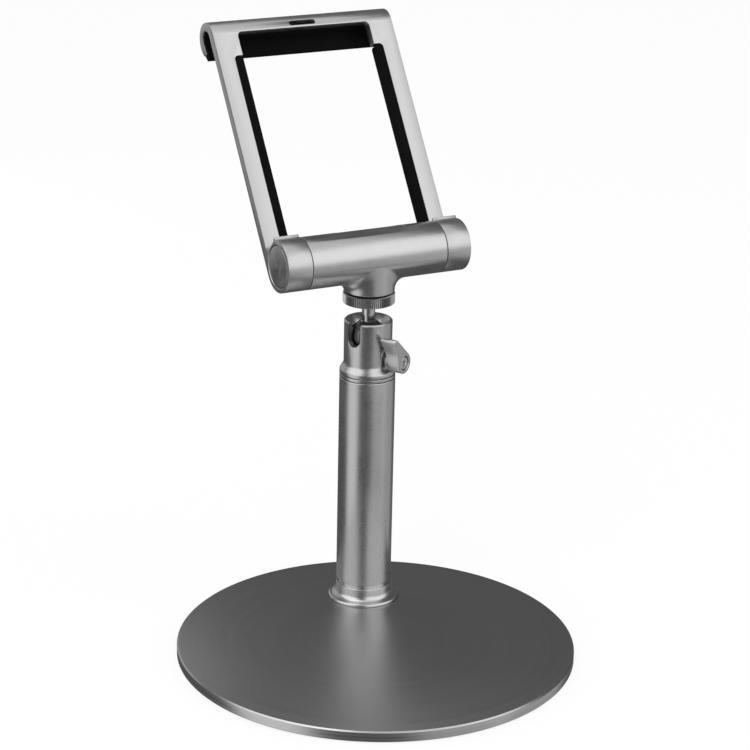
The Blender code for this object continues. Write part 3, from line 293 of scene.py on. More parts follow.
@dataclass(frozen=True)
class Finish:
    """A surface finish: colour, gloss, the grain that varies them, and a painted highlight that lightens convex edges.
    """

    name: str
    colour: Colour
    roughness: float
    grain: Grain
    density: float
    depth: float = 0.02
    metallic: float = 1.0
    tone_spread: float = 0.08
    gloss_spread: float = 0.06
    # painted highlight: convex edges take the colour times this gain
    highlight_gain: float = 1.25
    edge_width: float = 0.35
    anisotropic: float = 0.0
    specular: float = 0.5

    def material(self) -> Material:
        """Give this finish's material, built once."""
        if self.name not in _materials:
            _materials[self.name] = self.build()
        return _materials[self.name]

    def build(self) -> Material:
        """Build the material's node tree.

        Returns:
            The finished material.
        """
        made = bpy.data.materials.new(self.name)
        made.use_nodes = True
        tree = made.node_tree
        shader = tree.nodes["Principled BSDF"]
        shader.inputs["Metallic"].default_value = self.metallic
        shader.inputs["Anisotropic"].default_value = self.anisotropic
        shader.inputs["Specular IOR Level"].default_value = self.specular
        if self.anisotropic:
            tangent = add_node(tree, "ShaderNodeTangent", direction_type="RADIAL", axis="Z")
            tree.links.new(tangent.outputs[0], shader.inputs["Tangent"])
        grain = add_node(tree, "ShaderNodeGroup")
        grain.node_tree = shared_group(self.grain.name, GRAIN_GROUPS[self.grain])
        grain.inputs["Density"].default_value = self.density
        # painted highlight: a noisy mask of the convex edges
        highlight_node = add_node(tree, "ShaderNodeGroup")
        highlight_node.node_tree = shared_group("edge_highlight", edge_highlight_group)
        highlight_node.inputs["Width"].default_value = self.edge_width * MM

        dark = tuple(part * (1 - self.tone_spread) for part in self.colour)
        light = tuple(min(1.0, part * (1 + self.tone_spread)) for part in self.colour)
        # lighter colour drawn on convex edges as a painted highlight
        edge = tuple(min(1.0, part * self.highlight_gain) for part in self.colour)
        body = self.blend(tree, grain.outputs["Tone"], (*dark, 1.0), (*light, 1.0))
        highlighted = self.blend(tree, highlight_node.outputs["Mask"], body, (*edge, 1.0))
        tree.links.new(highlighted, shader.inputs["Base Color"])
        low, high = self.roughness - self.gloss_spread, self.roughness + self.gloss_spread
        tree.links.new(remap(tree, grain.outputs["Tone"], (0.0, 1.0), (low, high)), shader.inputs["Roughness"])
        bump = add_node(tree, "ShaderNodeBump", {
            "Height": grain.outputs["Height"], "Strength": 1.0, "Distance": self.depth * MM,
        })
        tree.links.new(bump.outputs[0], shader.inputs["Normal"])
        return made

    @staticmethod
    def blend(tree: NodeTree, factor: NodeSocket, first: object, second: object) -> NodeSocket:
        """Mix two colours.

        Args:
            tree: tree that takes the node.
            factor: how much of the second shows.
            first: colour or socket.
            second: colour or socket.

        Returns:
            The mixed colour's socket.
        """
        mix = add_node(tree, "ShaderNodeMix", data_type="RGBA")
        tree.links.new(factor, mix.inputs[0])
        for index, value in ((6, first), (7, second)):
            if isinstance(value, NodeSocket):
                tree.links.new(value, mix.inputs[index])
            else:
                mix.inputs[index].default_value = value
        return mix.outputs[2]


# Each finish's edge gain sets a painted highlight that lightens its convex edges.
SATIN = Finish("satin_aluminium", (0.62, 0.62, 0.625), 0.36, Grain.BLASTED, 2200.0, depth=0.0012,
               tone_spread=0.04, gloss_spread=0.03)
TUBE_SATIN = Finish("tube_satin", (0.60, 0.60, 0.605), 0.30, Grain.BLASTED, 2200.0, depth=0.001,
                    tone_spread=0.04, gloss_spread=0.03)
BARREL_SATIN = Finish("barrel_satin", (0.62, 0.62, 0.625), 0.31, Grain.BLASTED, 2200.0, depth=0.0011,
                      tone_spread=0.04, gloss_spread=0.03)
# painted shade: a dark copy of the stem's steel for the ball, which sits in the housing's shade
BALL_SHADE_STEEL = Finish("ball_shaded_steel", (0.16, 0.16, 0.165), 0.32, Grain.TURNED, 2600.0, depth=0.0008)
SPUN = Finish("spun_aluminium", (0.62, 0.62, 0.625), 0.26, Grain.TURNED, 2600.0, depth=0.0008,
              tone_spread=0.05, gloss_spread=0.03)
CONIC = Finish("conic_spun_aluminium", (0.58, 0.58, 0.585), 0.32, Grain.TURNED, 4200.0, depth=0.001,
               tone_spread=0.10, gloss_spread=0.04, anisotropic=0.75)
BASE_TOP_STEEL = Finish("base_steel", (0.52, 0.52, 0.525), 0.34, Grain.TURNED, 2400.0, depth=0.0003,
                        tone_spread=0.03, gloss_spread=0.02, highlight_gain=1.6, edge_width=0.3)
POLISHED = Finish("bright_steel", (0.66, 0.66, 0.67), 0.18, Grain.TURNED, 3000.0, depth=0.0005,
                  tone_spread=0.04, gloss_spread=0.03)
DARK_STEEL = Finish("dark_steel", (0.09, 0.09, 0.095), 0.40, Grain.TURNED, 2600.0, depth=0.001)
# painted shade: near-black colour drawn in the knurl's grooves
GROOVE_SHADE = Finish("knurl_groove_shade", (0.10, 0.10, 0.105), 0.42, Grain.TURNED, 2600.0, depth=0.0005)
RUBBER = Finish("black_rubber", (0.0045, 0.0045, 0.005), 0.60, Grain.MOULDED, 1800.0, depth=0.01,
                metallic=0.0, tone_spread=0.25, highlight_gain=1.8, edge_width=0.3, specular=0.03)
RIM_STEEL = Finish("base_rim_steel", (0.62, 0.62, 0.625), 0.27, Grain.TURNED, 2400.0, depth=0.0008,
                   tone_spread=0.08, gloss_spread=0.04, highlight_gain=1.4, edge_width=0.3)
NYLON = Finish("nylon", (0.72, 0.72, 0.69), 0.50, Grain.MOULDED, 1500.0, depth=0.01, metallic=0.0,
               highlight_gain=1.05)


UPRIGHT_NORMAL = 0.3            # faces flatter than this are not upright


# ---------------------------------------------------------------- mesh tools

class Plane(Enum):
    """Plane an outline is drawn in; the solid runs along the remaining axis."""

    FLAT = Matrix.Identity(4)
    SIDE = Matrix(((0, 0, 1, 0), (1, 0, 0, 0), (0, 1, 0, 0), (0, 0, 0, 1)))
    FRONT = Matrix(((1, 0, 0, 0), (0, 0, -1, 0), (0, 1, 0, 0), (0, 0, 0, 1)))


def arc(centre: Point, radius: float, start: float, end: float, step: float = 5.0) -> Outline:
    """Points of an arc, both ends included.

    Args:
        centre: arc's centre.
        radius: arc's radius.
        start: first angle in degrees.
        end: last angle in degrees.
        step: largest turn between points in degrees.

    Returns:
        The points in order.
    """
    count = max(2, math.ceil(abs(end - start) / step) + 1)
    turns = [math.radians(start + (end - start) * index / (count - 1)) for index in range(count)]
    return [(centre[0] + radius * math.cos(turn), centre[1] + radius * math.sin(turn)) for turn in turns]


def mesh_from(work: bmesh.types.BMesh, name: str) -> Mesh:
    """Close a working mesh, face it outward and scale it to metres.

    Args:
        work: working mesh in millimetres; it is freed.
        name: name of the mesh.

    Returns:
        The mesh in metres.
    """
    bmesh.ops.remove_doubles(work, verts=work.verts, dist=0.002)
    bmesh.ops.recalc_face_normals(work, faces=work.faces)
    bmesh.ops.scale(work, vec=(MM, MM, MM), verts=work.verts)
    mesh = bpy.data.meshes.new(name)
    work.to_mesh(mesh)
    work.free()
    return mesh


def ring_stack(name: str, rings: Sequence[Sequence[Vector]], closed: bool) -> Mesh:
    """Skin a stack of equal rings.

    Args:
        name: name of the mesh.
        rings: rings of points in order.
        closed: whether the last ring joins the first; otherwise both ends are capped.

    Returns:
        The mesh in metres.
    """
    work = bmesh.new()
    made = [[work.verts.new(point) for point in ring] for ring in rings]
    pairs = list(zip(made, made[1:]))
    if closed:
        pairs.append((made[-1], made[0]))
    for lower, upper in pairs:
        for index in range(len(lower)):
            after = (index + 1) % len(lower)
            work.faces.new((lower[index], lower[after], upper[after], upper[index]))
    if not closed:
        work.faces.new(made[0])
        work.faces.new(made[-1])
    return mesh_from(work, name)


def turned(name: str, profile: Outline, facets: int = 160, closed: bool = False) -> Mesh:
    """A solid of revolution about local Z.

    Args:
        name: name of the mesh.
        profile: (radius, height) points; the ends lie off the axis and are capped flat.
        facets: facets round the axis.
        closed: whether the profile closes on itself, as for a ring.

    Returns:
        The mesh in metres.
    """
    rings = []
    for radius, height in profile:
        turns = [2 * math.pi * index / facets for index in range(facets)]
        rings.append([Vector((radius * math.cos(turn), radius * math.sin(turn), height)) for turn in turns])
    return ring_stack(name, rings, closed)


def prism(name: str, outline: Outline, low: float, high: float, plane: Plane = Plane.FLAT) -> Mesh:
    """A straight solid from an outline.

    Args:
        name: name of the mesh.
        outline: points in the plane.
        low: lower end along the remaining axis.
        high: upper end along the remaining axis.
        plane: plane of the outline.

    Returns:
        The mesh in metres.
    """
    rings = [[plane.value @ Vector((across, up, level)) for across, up in outline] for level in (low, high)]
    return ring_stack(name, rings, False)


def moved(mesh: Mesh, matrix: Matrix) -> Mesh:
    """Move a mesh's points; the matrix's shift is in metres."""
    mesh.transform(matrix)
    return mesh


def block(name: str, low: Sequence[float], high: Sequence[float]) -> Mesh:
    """A box-shaped cutter between two corners in millimetres."""
    outline = [(low[0], low[1]), (high[0], low[1]), (high[0], high[1]), (low[0], high[1])]
    return prism(name, outline, low[2], high[2])


def applied(mesh: Mesh, prepare: Callable[[Object], None]) -> Mesh:
    """Run modifiers over a mesh.

    Args:
        mesh: mesh to change.
        prepare: function that puts the modifiers on a holder object.

    Returns:
        The changed mesh.
    """
    holder = bpy.data.objects.new(mesh.name, mesh)
    bpy.context.scene.collection.objects.link(holder)
    prepare(holder)
    bpy.context.view_layer.update()
    result = bpy.data.meshes.new_from_object(holder.evaluated_get(bpy.context.evaluated_depsgraph_get()))
    result.name = mesh.name
    bpy.data.objects.remove(holder, do_unlink=True)
    return result


def cut(mesh: Mesh, cutters: Sequence[Mesh], operation: str = "DIFFERENCE") -> Mesh:
    """Cut or join solids.

    Args:
        mesh: solid to work on.
        cutters: solids in the same frame.
        operation: DIFFERENCE or UNION.

    Returns:
        The resulting mesh.
    """
    tools = [bpy.data.objects.new(cutter.name, cutter) for cutter in cutters]
    for tool in tools:
        bpy.context.scene.collection.objects.link(tool)

    def prepare(holder: Object) -> None:
        """Put one Boolean on the holder for each cutter."""
        for tool in tools:
            step = holder.modifiers.new(tool.name, "BOOLEAN")
            step.operation = operation
            step.solver = "EXACT"
            step.object = tool

    result = applied(mesh, prepare)
    for tool in tools:
        bpy.data.objects.remove(tool, do_unlink=True)
    return result


def softened(mesh: Mesh, width: float, segments: int = 2, angle: float = 38.0) -> Mesh:
    """Round a mesh's sharp edges.

    Args:
        mesh: mesh to round.
        width: width of the rounding in millimetres.
        segments: facets across the rounding.
        angle: edges sharper than this many degrees are rounded.

    Returns:
        The rounded mesh.
    """
    def prepare(holder: Object) -> None:
        """Put the bevel on the holder."""
        step = holder.modifiers.new("soften", "BEVEL")
        step.width = width * MM
        step.segments = segments
        step.limit_method = "ANGLE"
        step.angle_limit = math.radians(angle)
        step.use_clamp_overlap = False

    return applied(mesh, prepare)


def add_piece(name: str, mesh: Mesh, frame: Matrix, finish: Finish, body: str,
              nodes: Sequence[str] = (), sharp: float = 32.0) -> Object:
    """Place a dressed piece and tie it to the frame.

    Args:
        name: name of the piece.
        mesh: mesh in the frame's coordinates.
        frame: placement.
        finish: surface finish.
        body: body it moves with.
        nodes: solids it stands for; the piece's own name without "visual_" when empty.
        sharp: edges over this many degrees stay sharp.

    Returns:
        The placed object.
    """
    mesh.shade_smooth()
    mesh.set_sharp_from_angle(angle=math.radians(sharp))
    mesh.materials.clear()
    mesh.materials.append(finish.material())
    if finish.grain in (Grain.BLASTED, Grain.MOULDED):
        mesh.transform(frame)
        frame = Matrix.Identity(4)
    piece = bpy.data.objects.new("visual_" + name, mesh)
    bpy.context.scene.collection.objects.link(piece)
    piece.matrix_world = frame
    bpy.context.view_layer.update()
    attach(piece, body)
    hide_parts(*(nodes or (name,)))
    LOG.info("%s rides on %s", piece.name, body)
    return piece


def shade_inner_faces(piece: Object, finish: Finish, radius: float) -> None:
    """Give painted shade to the upright faces nearer a turned piece's axis than a radius, with a second finish.

    Args:
        piece: the piece, its axis along local Z.
        finish: dark finish of that painted shade.
        radius: distance from the axis in millimetres.
    """
    piece.data.materials.append(finish.material())
    for face in piece.data.polygons:
        if abs(face.normal.z) < UPRIGHT_NORMAL and math.hypot(face.center.x, face.center.y) < radius * MM:
            face.material_index = 1


def shift(across: float, back: float, up: float) -> Matrix:
    """A translation in millimetres."""
    return Matrix.Translation((across * MM, back * MM, up * MM))


def turn(degrees: float, axis: str) -> Matrix:
    """A rotation about one axis."""
    return Matrix.Rotation(math.radians(degrees), 4, axis)


# ---------------------------------------------------------------- frames of the stand

@dataclass(frozen=True)
class Layout:
    """Where each sub-assembly's own frame stands."""

    column_back: float = 55.5
    head_turn: float = 20.56
    bracket_lean: float = 34.33
    slot_facing: float = -44.7
    clamp_facing: float = 51.0
    ball_height: float = 146.4
    clamp_height: float = 135.7
    barrel_height: float = 187.6

    def column(self) -> Matrix:
        """Column axis on the ground."""
        return shift(0, self.column_back, 0)

    def slot(self) -> Matrix:
        """Column axis turned so that -Y points out of the housing's slot."""
        return self.column() @ turn(self.slot_facing, "Z")

    def clamp(self) -> Matrix:
        """Clamp screw's axis, with local Z pointing outward."""
        return shift(0, self.column_back, self.clamp_height) @ turn(self.clamp_facing, "Z") @ turn(90, "X")

    def head(self) -> Matrix:
        """Column axis turned with the head."""
        return self.column() @ turn(self.head_turn, "Z")

    def barrel(self) -> Matrix:
        """Barrel's middle, with local X along it."""
        return self.head() @ shift(0, 0, self.barrel_height)

    def bracket(self) -> Matrix:
        """Barrel's middle leaned back with the bracket."""
        return self.barrel() @ turn(-self.bracket_lean, "X")


class Side(Enum):
    """End of the barrel."""

    LEFT = -90.0
    RIGHT = 90.0

    @property
    def label(self) -> str:
        """The side's name in piece names."""
        return self.name.lower()


# ---------------------------------------------------------------- sub-assemblies

@dataclass
class Base:
    """The heavy round base plate."""

    layout: Layout
    radius: float = 98.0
    low: float = 0.5
    high: float = 5.8
    chamfer: float = 0.65
    foot_chamfer: float = 0.35
    pad_margin: float = 6.0
    pad_sink: float = 0.5
    recess_radius: float = 18.24
    recess_depth: float = 1.0
    recess_edge: float = 0.18
    screw_radius: float = 3.3
    screw_head_radius: float = 5.9
    screw_head_height: float = 2.9
    level_face: float = 0.98
    rim_from: float = 96.0

    def plate_mesh(self) -> Mesh:
        """Build the plate: turned blank, recess for the column foot, countersink below.

        Returns:
            The plate's mesh.
        """
        edge, under = self.radius - self.chamfer, self.radius - self.foot_chamfer
        soft = self.chamfer / 5
        profile = [
            (edge - soft, self.high), (edge, self.high - soft / 3),
            (self.radius - soft / 3, self.high - self.chamfer + soft / 4),
            (self.radius, self.high - self.chamfer - soft),
            (self.radius, self.low + self.foot_chamfer), (under, self.low),
            (self.radius - self.pad_margin, self.low),
            (self.radius - self.pad_margin, self.low + self.pad_sink),
        ]
        blank = turned("base_plate", profile, 320)
        floor = self.high - self.recess_depth
        recess = turned("foot_recess", [
            (self.recess_radius, floor), (self.recess_radius, self.high - self.recess_edge),
            (self.recess_radius + self.recess_edge, self.high),
            (self.recess_radius + self.recess_edge, self.high + OVERCUT),
        ], 160)
        underside = self.low + self.pad_sink
        hole = turned("countersink", [
            (self.screw_radius, floor + OVERCUT), (self.screw_radius, underside + self.screw_head_height),
            (self.screw_head_radius, underside), (self.screw_head_radius, underside - OVERCUT),
        ], 48)
        offset = self.layout.column()
        return cut(blank, [moved(recess, offset), moved(hole, offset)])

    def build(self) -> None:
        """Build and dress the plate."""
        plate = add_piece("base_plate", self.plate_mesh(), Matrix.Identity(4), BASE_TOP_STEEL, "stand",
                          sharp=20.0)
        plate.data.materials.append(RIM_STEEL.material())
        for face in plate.data.polygons:
            if abs(face.normal.z) < self.level_face and math.hypot(*face.center.xy) > self.rim_from * MM:
                face.material_index = 1


@dataclass
class Column:
    """The flared foot, the tube and the plug ring over it."""

    layout: Layout
    radius: float = 14.0
    foot_low: float = 5.1
    flange_radius: float = 17.94
    flange_top: float = 7.45
    flange_edge: float = 1.1
    flare_radius: float = 3.3
    foot_top: float = 13.9
    edge: float = 0.45
    neck_step: float = 1.3
    tube_low: float = 16.1
    tube_high: float = 125.1
    bore: float = 11.5
    spigot_radius: float = 11.2
    spigot_length: float = 17.0
    thread_radius: float = 3.3
    thread_top: float = 18.5
    ring_low: float = 125.4
    ring_high: float = 126.95
    ring_edge: float = 0.25
    plug_bore: float = 5.0
    plug_spigot: float = 14.0
    plug_upper_radius: float = 8.5
    plug_upper: float = 4.6

    def foot_mesh(self) -> Mesh:
        """Build the foot: flange, flare, neck and the spigot inside the tube.

        Returns:
            The foot's mesh.
        """
        neck = self.radius - self.neck_step
        flare = (self.radius + self.flare_radius, self.flange_top + self.flare_radius)
        rim = (self.flange_radius - self.flange_edge, self.flange_top - self.flange_edge)
        top = (self.radius - self.edge, self.foot_top - self.edge)
        profile = [
            (self.thread_radius, self.thread_top), (0.01, self.thread_top),
            (0.01, self.tube_low + self.spigot_length), (self.spigot_radius, self.tube_low + self.spigot_length),
            (self.spigot_radius, self.tube_low - GAP), (neck, self.tube_low - GAP), (neck, self.foot_top),
        ]
        profile += arc(top, self.edge, 90, 0, 22.5)
        profile += arc(flare, self.flare_radius, 180, 262, 7)
        profile += arc(rim, self.flange_edge, 78, 0, 10)
        profile += [(self.flange_radius, self.foot_low), (self.thread_radius, self.foot_low)]
        return turned("column_foot", profile, closed=True)

    def tube_mesh(self) -> Mesh:
        """Build the tube with a small rounding at both ends.

        Returns:
            The tube's mesh.
        """
        profile = [(self.bore, self.tube_high)]
        profile += arc((self.radius - self.edge, self.tube_high - self.edge), self.edge, 90, 0, 22.5)
        profile += arc((self.radius - self.edge, self.tube_low + self.edge), self.edge, 0, -90, 22.5)
        profile += [(self.bore, self.tube_low)]
        return turned("column_tube", profile, closed=True)

    def plug_mesh(self) -> Mesh:
        """Build the plug with its ring between tube and housing.

        Returns:
            The plug's mesh.
        """
        inner = self.radius - self.ring_edge
        profile = [
            (self.plug_bore, self.ring_high + self.plug_upper),
            (self.plug_upper_radius, self.ring_high + self.plug_upper),
            (self.plug_upper_radius, self.ring_high),
        ]
        profile += arc((inner, self.ring_high - self.ring_edge), self.ring_edge, 90, 0, 30)
        profile += arc((inner, self.ring_low + self.ring_edge), self.ring_edge, 0, -90, 30)
        profile += [
            (self.spigot_radius, self.ring_low), (self.spigot_radius, self.ring_low - self.plug_spigot),
            (self.plug_bore, self.ring_low - self.plug_spigot),
        ]
        return turned("column_plug", profile, closed=True)

    def build(self) -> None:
        """Build and dress the three pieces."""
        frame = self.layout.column()
        add_piece("column_foot", self.foot_mesh(), frame, SPUN, "stand")
        add_piece("column_tube", self.tube_mesh(), frame, TUBE_SATIN, "stand")
        add_piece("column_plug", self.plug_mesh(), frame, SPUN, "stand")


@dataclass
class BallHead:
    """The slotted housing and the ball with its stem."""

    layout: Layout
    low: float = 127.25
    high: float = 154.8
    radius: float = 12.05
    column_radius: float = 14.0
    edge: float = 0.55
    lip: float = 0.75
    skirt: float = 1.3
    skirt_edge: float = 0.25
    flare: float = 4.3
    socket_radius: float = 8.8
    grip: float = 4.4
    slot_half: float = 3.65
    thread_radius: float = 2.8
    spotface_radius: float = 5.6
    spotface_at: float = 11.0
    ball_radius: float = 8.5
    stem_radius: float = 3.3
    stem_reach: float = 16.8
    stud_radius: float = 3.0
    stud_length: float = 18.5
    stem_edge: float = 0.35
    # ball faces below this height take the painted shade
    neck_height: float = 7.6
    slot_edge: float = 0.3

    def housing_mesh(self) -> Mesh:
        """Build the housing in the slot's frame: turned body, upright slot, clamp hole and spotface.

        Returns:
            The housing's mesh.
        """
        ball = self.layout.ball_height
        dish = self.radius - self.edge - self.lip
        flare_low = self.low + self.skirt
        step = self.column_radius - self.radius
        profile = [(dish, self.high), (self.radius - self.edge, self.high)]
        profile += [(self.radius, self.high - self.edge)]
        for index in range(9):
            share = index / 8
            ease = share * share * (3 - 2 * share)
            profile.append((self.radius + step * ease, flare_low + self.flare * (1 - share)))
        profile += arc((self.column_radius - self.skirt_edge, self.low + self.skirt_edge), self.skirt_edge, 0, -90, 30)
        profile += [(self.socket_radius, self.low)]
        profile += arc((0, ball), self.socket_radius, 0, math.degrees(math.asin(self.grip / self.socket_radius)), 5)
        blank = turned("ball_housing", profile, closed=True)

        reach = self.radius + OVERCUT
        top = self.high + OVERCUT
        outline = [(self.slot_half, top), (-self.slot_half, top)]
        outline += arc((0, ball), self.slot_half, 180, 360, 6)
        slot = prism("ball_slot", outline, 0, reach, Plane.FRONT)
        outward = self.layout.slot().inverted() @ self.layout.clamp()
        thread = turned("clamp_thread", [
            (self.thread_radius, self.socket_radius - OVERCUT), (self.thread_radius, reach),
        ], 48)
        spotface = turned("clamp_spotface", [
            (self.spotface_radius, self.spotface_at), (self.spotface_radius, self.column_radius + OVERCUT),
        ], 64)
        body = cut(blank, [slot, moved(thread, outward), moved(spotface, outward)])
        return softened(body, self.slot_edge, 2, 50.0)

    def stem_mesh(self) -> Mesh:
        """Build the ball, its stem and the threaded stud, about the ball's centre.

        Returns:
            The stem's mesh.
        """
        neck = math.degrees(math.acos(self.stem_radius / self.ball_radius))
        profile = [
            (0.01, self.stem_reach + self.stud_length), (self.stud_radius, self.stem_reach + self.stud_length),
            (self.stud_radius, self.stem_reach), (self.stem_radius - self.stem_edge, self.stem_reach),
            (self.stem_radius, self.stem_reach - self.stem_edge),
        ]
        profile += arc((0, 0), self.ball_radius, neck, -89.9, 4)
        return turned("ball_stem", profile, 96)

    def build(self) -> None:
        """Build and dress the housing and the ball."""
        add_piece("ball_housing", self.housing_mesh(), self.layout.slot(), TUBE_SATIN, "stand")
        frame = self.layout.column() @ shift(0, 0, self.layout.ball_height)
        stem = add_piece("ball_stem", self.stem_mesh(), frame, POLISHED, "ball")
        # painted shade: the ball below the neck gets a dark copy of the stem's steel where the housing shades it
        stem.data.materials.append(BALL_SHADE_STEEL.material())
        for face in stem.data.polygons:
            if face.center.z < self.neck_height * MM:
                face.material_index = 1


@dataclass
class Clamp:
    """The clamp screw, its wing lever and the cap screw that holds it; local Z points outward."""

    layout: Layout
    screw_radius: float = 2.5
    tip_at: float = 5.9
    tip_length: float = 1.5
    tip_radius: float = 1.2
    collar_low: float = 11.3
    collar_small: float = 3.3
    collar_large: float = 4.95
    hub_radius: float = 5.35
    inner_at: float = 15.2
    outer_at: float = 21.8
    tip_lean: float = 2.3
    tip_rounding: float = 1.3
    reach: float = 15.0
    tip_angle: float = 122.0
    waist: float = 1.0
    web: float = 1.9
    edge: float = 0.35
    cap_radius: float = 3.3
    cap_height: float = 2.3
    cap_sink: float = 0.45
    cap_shank: float = 1.3
    cap_reach: float = 4.0
    hex_radius: float = 1.5
    hex_depth: float = 1.3
    room: float = 0.2

    @property
    def screw_end(self) -> float:
        """Outer end of the clamp screw."""
        return self.outer_at - self.cap_sink - self.cap_height - self.web - 2 * GAP

    @property
    def cap_low(self) -> float:
        """Underside of the cap screw's head."""
        return self.screw_end + self.web + 2 * GAP

    def screw_mesh(self) -> Mesh:
        """Build the clamp screw with its polished collar.

        Returns:
            The screw's mesh.
        """
        collar_high = self.inner_at - GAP - self.tip_lean * self.collar_large / self.reach
        shank_low = self.cap_low - self.web - GAP - self.cap_reach
        profile = [
            (0.01, shank_low - GAP), (self.cap_shank + self.room, shank_low - GAP),
            (self.cap_shank + self.room, self.screw_end), (self.screw_radius, self.screw_end),
            (self.screw_radius, collar_high), (self.collar_large - self.room, collar_high),
        ]
        length = collar_high - self.room - self.collar_low
        growth = self.collar_large - self.collar_small
        for index in range(9):
            share = index / 8
            profile.append((self.collar_large - growth * share ** 1.8, collar_high - self.room - length * share))
        profile += [
            (self.screw_radius, self.collar_low), (self.screw_radius, self.tip_at + self.tip_length),
            (self.tip_radius, self.tip_at), (0.01, self.tip_at),
        ]
        return turned("clamp_screw", profile, 72)

    def lever_mesh(self) -> Mesh:
        """Build the wing lever: a drawn-out hub with a sloping inner face and a well for the cap screw.

        Returns:
            The lever's mesh.
        """
        spread = math.degrees(math.acos((self.hub_radius - self.tip_rounding) / self.reach))
        lean = math.radians(self.tip_angle)
        tip = (self.reach * math.cos(lean), self.reach * math.sin(lean))
        outline = arc((0, 0), self.hub_radius, self.tip_angle + spread, self.tip_angle + 360 - spread, 6)
        outline += arc(tip, self.tip_rounding, self.tip_angle - spread, self.tip_angle + spread, 25)
        away = math.radians(self.tip_angle + spread)
        start, end = outline[-1], outline[0]
        for index in range(1, 10):
            share = index / 10
            inward = self.waist * math.sin(math.pi * share) ** 2
            outline.append((
                start[0] + (end[0] - start[0]) * share - inward * math.cos(away),
                start[1] + (end[1] - start[1]) * share - inward * math.sin(away),
            ))
        body = prism("clamp_lever", outline, self.inner_at - self.tip_lean, self.outer_at)
        slope = math.degrees(math.atan2(self.tip_lean, self.reach))
        size = self.reach + self.hub_radius
        slab = block("lever_slope", (-size, -size, -2 * size), (2 * size, size, 0))
        tilt = shift(0, 0, self.inner_at) @ turn(self.tip_angle, "Z") @ turn(slope, "Y")
        body = softened(cut(body, [moved(slab, tilt)]), self.edge, 3, 35.0)
        bore = turned("lever_bore", [
            (self.screw_radius + self.room, self.inner_at - 2 * self.tip_lean),
            (self.screw_radius + self.room, self.screw_end + GAP),
        ], 48)
        hole = turned("lever_hole", [
            (self.cap_shank + self.room, self.screw_end - OVERCUT),
            (self.cap_shank + self.room, self.cap_low + OVERCUT),
        ], 32)
        well = turned("lever_well", [
            (self.cap_radius + GAP, self.cap_low - GAP), (self.cap_radius + GAP, self.outer_at - self.room),
            (self.cap_radius + GAP + self.room, self.outer_at), (self.cap_radius + GAP + self.room, self.outer_at + OVERCUT),
        ], 64)
        return cut(body, [bore, hole, well])

    def cap_mesh(self) -> Mesh:
        """Build the cap screw with its hex socket.

        Returns:
            The cap screw's mesh.
        """
        high = self.cap_low + self.cap_height
        profile = [
            (0.01, high), (self.cap_radius - self.edge, high), (self.cap_radius, high - self.edge),
            (self.cap_radius, self.cap_low), (self.cap_shank, self.cap_low),
            (self.cap_shank, self.cap_low - self.web - GAP - self.cap_reach),
            (0.01, self.cap_low - self.web - GAP - self.cap_reach),
        ]
        socket = turned("cap_hex", [
            (self.hex_radius, high - self.hex_depth), (self.hex_radius, high - self.room),
            (self.hex_radius + self.room, high), (self.hex_radius + self.room, high + OVERCUT),
        ], 6)
        return cut(turned("lever_cap_screw", profile, 64), [socket])

    def build(self) -> None:
        """Build and dress the three pieces."""
        frame = self.layout.clamp()
        add_piece("clamp_screw", self.screw_mesh(), frame, POLISHED, "clamp")
        add_piece("clamp_lever", self.lever_mesh(), frame, SATIN, "clamp")
        add_piece("lever_cap_screw", self.cap_mesh(), frame, POLISHED, "clamp")


@dataclass
class LockDisc:
    """The knurled lock disc and the thin washer over it."""

    layout: Layout
    radius: float = 13.0
    low: float = 163.5
    high: float = 169.0
    ribs: int = 80
    rib_depth: float = 0.5
    points_per_rib: int = 6
    groove_share: float = 0.6
    chamfer: float = 0.4
    bore: float = 3.3
    washer_radius: float = 12.3
    washer_low: float = 169.2
    washer_high: float = 169.6

    def disc_mesh(self) -> Mesh:
        """Build the disc with rounded upright ribs that run out at the chamfers.

        Returns:
            The disc's mesh.
        """
        count = self.ribs * self.points_per_rib
        smooth = self.radius - self.rib_depth - self.chamfer
        levels = [
            (self.bore, 0.0, self.high), (smooth, 0.0, self.high),
            (self.radius - self.rib_depth, 1.0, self.high - self.chamfer),
            (self.radius - self.rib_depth, 1.0, self.low + self.chamfer),
            (smooth, 0.0, self.low), (self.bore, 0.0, self.low),
        ]
        rings = []
        for radius, rib, height in levels:
            ring = []
            for index in range(count):
                wave = 1 - abs(2 * (index % self.points_per_rib) / self.points_per_rib - 1)
                reach = radius + rib * self.rib_depth * wave
                angle = 2 * math.pi * index / count
                ring.append(Vector((reach * math.cos(angle), reach * math.sin(angle), height)))
            rings.append(ring)
        return ring_stack("lock_disc", rings, True)

    def build(self) -> None:
        """Build and dress the disc and its washer."""
        frame = self.layout.head()
        disc = add_piece("lock_disc", self.disc_mesh(), frame, SPUN, "lock", sharp=20.0)
        # painted shade in the grooves between the ribs
        shade_inner_faces(disc, GROOVE_SHADE, self.radius - self.rib_depth * self.groove_share)
        ring = [
            (self.bore, self.washer_high), (self.washer_radius, self.washer_high),
            (self.washer_radius, self.washer_low), (self.bore, self.washer_low),
        ]
        add_piece("disc_washer", turned("disc_washer", ring, 96, closed=True), frame, RUBBER, "head")


